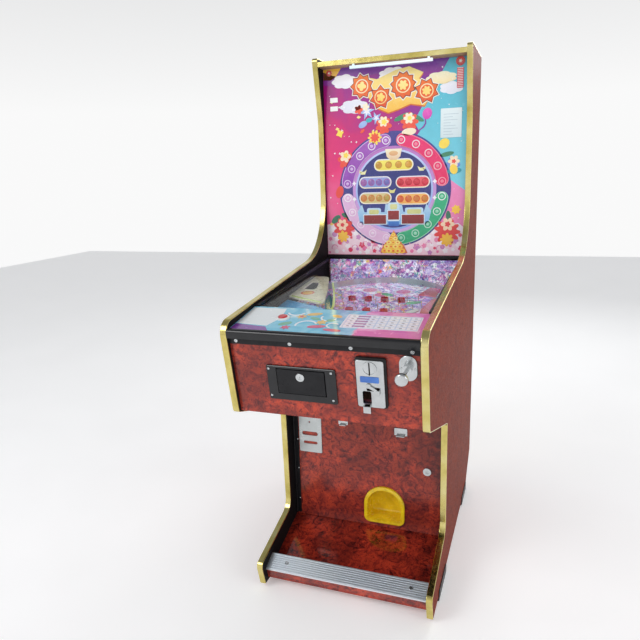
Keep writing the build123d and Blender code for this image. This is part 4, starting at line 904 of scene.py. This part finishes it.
def apron(name, layer, low, high, outlines, speck=0.08):
    """Printed shapes of one colour on the control apron."""
    surface = printed("print_" + name, low, high, 0, (-INNER_X, INNER_X), speck)
    return add_slabs("apron_" + name, outlines, on_apron, 0.0, layer * ART_LAYER, surface, "apron_print")


def apron_artwork():
    """Cards, bands and small motifs on the control apron."""
    apron("margin", 1, (0.62, 0.08, 0.34), (0.8, 0.2, 0.5), [
        [(88, 2), (268, 2), (268, 168), (256, 168), (256, 42), (92, 42)],
    ])
    apron("left_band", 1, (0.2, 0.05, 0.34), (0.36, 0.12, 0.46), [
        [(-268, 2), (-150, 2), (-170, 34), (-268, 46)],
    ])
    apron("left_card", 2, (0.84, 0.9, 0.92), (0.88, 0.93, 0.94), [
        [(-266, 48), (-170, 40), (-150, 100), (-160, 170), (-266, 172)],
    ], speck=0.03)
    apron("table_card", 2, (0.8, 0.9, 0.92), (0.86, 0.92, 0.93), [rounded(38, 250, 56, 152, 3)], speck=0.02)
    bars, cells, dots = [], [], []
    for row in range(5):
        v = 62 + row * 17.5
        bars.append(rounded(70, 106, v + 3, v + 10, 1.5))
        for column in range(7):
            u = 46 + column * 29
            cells.append(rounded(u, u + 25, v, v + 13.5, 1.5))
            if column != 1:
                dots.append(rounded(u + 8, u + 16, v + 4.5, v + 8.5, 1.5))
    apron("table_cells", 3, (0.9, 0.93, 0.94), (0.93, 0.95, 0.96), cells, speck=0.02)
    ground = rounded(42, 247, 59, 149, 2)
    apron("table_ground", 2.5, (0.56, 0.68, 0.8), (0.6, 0.7, 0.84), [ground], speck=0.02)
    apron("table_bars", 4, (0.24, 0.06, 0.26), (0.3, 0.1, 0.3), bars, speck=0.02)
    apron("table_dots", 4, (0.16, 0.18, 0.22), (0.2, 0.22, 0.26), dots, speck=0.02)
    apron("motif_gold", 3, (0.8, 0.44, 0.08), (0.86, 0.6, 0.2), [
        star(-92, 118, 17, 9, 7), star(-22, 84, 18, 10, 6),
        oval(-60, 140, 22, 10, 0.3), oval(10, 132, 16, 9, -0.4),
    ])
    apron("motif_red", 4, (0.66, 0.05, 0.14), (0.74, 0.1, 0.24), [
        star(-92, 118, 8, 4, 5), oval(-26, 52, 26, 9, 0.2),
        oval(24, 34, 26, 8, -0.1), star(-112, 36, 15, 8, 6),
    ])
    apron("motif_green", 3, (0.14, 0.42, 0.26), (0.2, 0.52, 0.36), [
        oval(-122, 62, 20, 10, 0.6), oval(-48, 108, 16, 8, -0.3), oval(0, 100, 12, 8, 0.2),
    ])
    apron("swirls", 2, (0.84, 0.9, 0.96), (0.92, 0.92, 0.96), [
        arc_band(-60, 60, 26, 32, 20, 200, 24), arc_band(-10, 120, 20, 25, 160, 350, 24),
        arc_band(-118, 150, 22, 28, 200, 350, 24), arc_band(16, 66, 14, 18, 30, 260, 24),
    ])


def board_layer(name, heights, low, high, outlines, slot="grey_plastic"):
    """Shapes of one colour on or above the playfield, between two heights."""
    surface = printed("print_" + name, low, high, 1, (BOARD_LOW.y, BOARD_HIGH.y), 0.1, 0.2)
    return add_slabs("board_" + name, outlines, on_board, *heights, surface, slot)


def playfield_artwork():
    """Printed targets, raised plastic plates and lamp lenses under the glass."""
    targets = ((-60, 700), (70, 690), (0, 640))
    for name, top, radius, low, high in (
        ("rings", 0.3, 34, (0.8, 0.8, 0.88), WHITE),
        ("ring_faces", 0.6, 27, (0.7, 0.08, 0.22), (0.84, 0.2, 0.36)),
    ):
        board_layer(name, (0, top), low, high, [circle(u, v, radius) for u, v in targets], "playfield")
    board_layer("side_plates", (26, 29), (0.6, 0.05, 0.1), (0.78, 0.16, 0.2), [
        [(196, 300), (222, 300), (222, 520), (204, 500), (190, 400)],
        [(150, 560), (214, 540), (214, 640), (176, 660)],
    ], "red_plastic")
    board_layer("teal_plate", (30, 33), (0.01, 0.24, 0.3), (0.02, 0.34, 0.4), [
        [(-160, 500), (-118, 460), (-84, 330), (-104, 296), (-146, 420)],
    ])
    board_layer("green_plates", (24, 27), (0.04, 0.34, 0.18), (0.08, 0.46, 0.28), [
        oval(150, 470, 26, 12, 0.5), oval(40, 560, 24, 10, -0.4), oval(208, 420, 20, 9, 0.9),
    ])
    board_layer("blue_plate", (52, 55), (0.02, 0.22, 0.56), (0.06, 0.4, 0.7), [
        [(-254, 215), (-70, 215), (-84, 262), (-128, 290), (-254, 352)],
    ])
    board_layer("light_strip", (57, 60), (0.5, 0.7, 0.14), (0.66, 0.84, 0.28), [[
        (-168, 570), (-162, 574), (-125, 472), (-94, 381), (-70, 300),
        (-56, 228), (-63, 226), (-77, 298), (-101, 379), (-131, 470),
    ]], "yellow_plastic")
    board_layer("orange_plates", (25, 28), (0.8, 0.3, 0.04), (0.9, 0.46, 0.1), [
        oval(60, 330, 30, 13, 0.3), oval(178, 300, 24, 10, -0.7),
    ], "yellow_plastic")
    board_layer("white_plates", (28, 31), (0.8, 0.78, 0.84), WHITE, [
        oval(168, 360, 26, 11, 0.9),
    ], "white_plastic")
    board_layer("cover_edge", (COVER_TOP, COVER_TOP + 0.3), (0.5, 0.62, 0.1), (0.66, 0.74, 0.2), [
        [(-248, 366), (-116, 302), (-120, 316), (-248, 380)],
    ])
    emblem = (-205, 415)
    board_layer("cover_rim", (COVER_TOP, COVER_TOP + 0.3), (0.66, 0.05, 0.03), (0.8, 0.12, 0.05), [
        circle(*emblem, 24, 36),
    ])
    board_layer("cover_emblem", (COVER_TOP, COVER_TOP + 0.6), (0.86, 0.38, 0.06), (0.93, 0.55, 0.16), [
        circle(*emblem, 18, 36),
    ])
    surface = printed("board_lens", (0.85, 0.62, 0.12), (0.92, 0.86, 0.7), 0, (-0.2, 0.2), 0.2, 0.1)
    lenses = [
        (-190 + 380 * spread(step, STRIDE_ACROSS), 150 + 600 * spread(step, STRIDE_UP)) for step in range(26)
    ]
    add_domes("board_lenses", lenses, 9, 3.0, on_board, 1.0, surface)


def rear_wall():
    """Printed wall that closes the gap between the playfield's rear edge and the glass."""
    half, thickness, below_glass = 257 * MM, 1 * MM, 6 * MM
    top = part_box("playfield_glass")[1].z - below_glass
    outline = [(-half, BOARD_HIGH.z), (half, BOARD_HIGH.z), (half, top), (-half, top)]
    for name, gap, slot in (
        ("board_rear_wall", 0.5, "playfield"), ("board_rear_backing", 1.5, "plain_board"),
    ):
        front = BOARD_HIGH.y + gap * MM
        add_slabs(
            name, [outline], lambda x, z, depth: (x, depth, z), front + thickness, front, SURFACES[slot], slot
        )


# ---- small furniture
# Plunger spring: lean, turns, radii of the wire and of the coil, and share of the CAD sleeve's length.
SPRING_LEAN = math.radians(3)
SPRING_TURNS = 12
SPRING_WIRE, SPRING_RADIUS = 0.8 * MM, 7 * MM
SPRING_REST = 0.97


def spring_coil():
    """Plunger spring as a smooth coil."""
    low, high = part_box("plunger_spring")
    centre = (low + high) / 2
    axis = Vector((0, -math.cos(SPRING_LEAN), -math.sin(SPRING_LEAN)))
    side, lift = Vector((1, 0, 0)), Vector((0, -math.sin(SPRING_LEAN), math.cos(SPRING_LEAN)))
    length = (high.y - low.y) * SPRING_REST
    steps, section = SPRING_TURNS * 20, 8
    around = [2 * math.pi * k / section for k in range(section)]
    mesh = bmesh.new()
    rings = []
    for i in range(steps + 1):
        t = 2 * math.pi * SPRING_TURNS * i / steps
        out = side * math.cos(t) + lift * math.sin(t)
        middle = centre + axis * (length * (i / steps - 0.5)) + out * SPRING_RADIUS
        rings.append([
            mesh.verts.new(middle + (out * math.cos(a) + axis * math.sin(a)) * SPRING_WIRE) for a in around
        ])
    for first, second in zip(rings, rings[1:]):
        for k in range(section):
            mesh.faces.new((first[k], first[(k + 1) % section], second[(k + 1) % section], second[k]))
    mesh.faces.new(rings[0])
    mesh.faces.new(list(reversed(rings[-1])))
    coil = add_piece("plunger_spring_coil", mesh, SURFACES["zinc"], smooth=True)
    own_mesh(coil)
    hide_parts("plunger_spring")


def front_place():
    """Function that maps front-face millimetres (across, up the face, out) to metres."""
    strip_proud = 3 * MM
    lean = math.atan2(STRIP_HIGH.y - STRIP_LOW.y - strip_proud, STRIP_HIGH.z - STRIP_LOW.z)
    corner = Vector((0, STRIP_LOW.y, STRIP_HIGH.z))
    up = Vector((0, -math.sin(lean), math.cos(lean)))
    out = Vector((0, -math.cos(lean), -math.sin(lean)))
    return lambda u, v, height: corner + Vector((u * MM, 0, 0)) + up * (v * MM) + out * (height * MM)


def coin_label():
    """Plain blue label on the coin plate."""
    low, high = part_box("coin_plate")
    surface = printed("coin_label", (0.02, 0.1, 0.42), (0.04, 0.18, 0.58), 0, (low.x, high.x), 0.1)
    label = rounded(108, 159, -106, -88, 2)
    add_slabs("coin_label", [label], front_place(), 8.9, 9.4, surface, "chrome")


def hinge_screws():
    """Domed screw heads down the door's hinge leaf."""
    low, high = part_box("door_hinge_moving_leaf")
    leaf, inset = 1.2 * MM, 5 * MM
    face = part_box("lower_door")[0].y - leaf
    shares = (0.14, 0.44, 0.72)
    centres = [(0, (low.z + (high.z - low.z) * share) / MM) for share in shares]
    add_domes(
        "hinge_screw_heads", centres, 3.2, 1.1,
        lambda u, v, height: (high.x - inset + u * MM, face - height * MM, v * MM),
        0.1, SURFACES["chrome"], "front_door",
    )


# ---- studio
def studio_world():
    """Soft white surround that darkens overhead."""
    world = bpy.data.worlds.new("studio")
    bpy.context.scene.world = world
    world.use_nodes = True
    nodes, links = world.node_tree.nodes, world.node_tree.links
    backdrop = nodes["Background"]
    where = nodes.new("ShaderNodeTexCoord")
    split = nodes.new("ShaderNodeSeparateXYZ")
    shade = nodes.new("ShaderNodeValToRGB")
    horizon, overhead = shade.color_ramp.elements
    horizon.color = (1.0, 1.0, 1.0, 1.0)
    horizon.position = 0.1
    overhead.color = (0.3, 0.31, 0.33, 1.0)
    overhead.position = 0.85
    links.new(where.outputs["Generated"], split.inputs[0])
    links.new(split.outputs[2], shade.inputs["Fac"])
    links.new(shade.outputs["Color"], backdrop.inputs["Color"])
    backdrop.inputs["Strength"].default_value = 0.95


def studio():
    """Plain floor, soft surround and three area lights."""
    size, thickness = 8.0, 0.05
    mesh = bmesh.new()
    corners = [(-size, -size), (size, -size), (size, size), (-size, size)]
    prism(mesh, corners, lambda u, v, height: (u, v, height), -thickness, 0.0)
    floor = add_object("studio_floor", mesh, studio_floor())
    studio_world()
    for name, place, aim, power, width in (
        ("key", (-2.4, -3.4, 3.6), (0, -0.2, 0.9), 75, 2.2),
        ("fill", (3.4, -2.0, 2.4), (0, 0, 0.9), 26, 2.0),
        ("back", (0.6, 3.2, 3.0), (0, 0, 1.0), 40, 2.0),
    ):
        data = bpy.data.lights.new(name, "AREA")
        data.energy = power
        data.size = width
        lamp = bpy.data.objects.new(name, data)
        lamp.location = place
        lamp.rotation_euler = (Vector(aim) - Vector(place)).to_track_quat("-Z", "Y").to_euler()
        bpy.context.scene.collection.objects.link(lamp)
    bpy.context.scene.view_settings.view_transform = "Standard"


# Camera: yaw, tilt and roll, focal length in millimetres, sideways and upward shift, and place.
CAMERA_TURN = [math.radians(angle) for angle in (20.63, 14.22, -2.08)]
CAMERA_LENS = 33.97
CAMERA_SHIFT = (0.0119, 0.0124)
CAMERA_PLACE = (0.527, BACK_Y - 2.581, 1.343)


def camera():
    """Eye-level view from the front right, looking slightly down."""
    yaw, tilt, roll = CAMERA_TURN
    forward = Vector((-math.sin(yaw) * math.cos(tilt), math.cos(yaw) * math.cos(tilt), -math.sin(tilt)))
    level = Vector((math.cos(yaw), math.sin(yaw), 0))
    up = level.cross(forward)
    right = level * math.cos(roll) + up * math.sin(roll)
    top = up * math.cos(roll) - level * math.sin(roll)
    data = bpy.data.cameras.new("camera")
    data.sensor_width = 36
    data.lens = CAMERA_LENS
    data.shift_x, data.shift_y = CAMERA_SHIFT
    eye = bpy.data.objects.new("camera", data)
    turn = Matrix((right, top, -forward)).transposed().to_4x4()
    eye.matrix_world = Matrix.Translation(CAMERA_PLACE) @ turn
    bpy.context.scene.collection.objects.link(eye)
    bpy.context.scene.camera = eye


camera()
studio()
finish_cad_nodes()
art_backdrop()
art_blossoms()
art_clouds()
art_burst()
art_ornaments()
art_sparkles()
art_ring()
art_pills()
art_windows()
art_centre()
art_notices()
apron_artwork()
playfield_artwork()
rear_wall()
spring_coil()
coin_label()
hinge_screws()
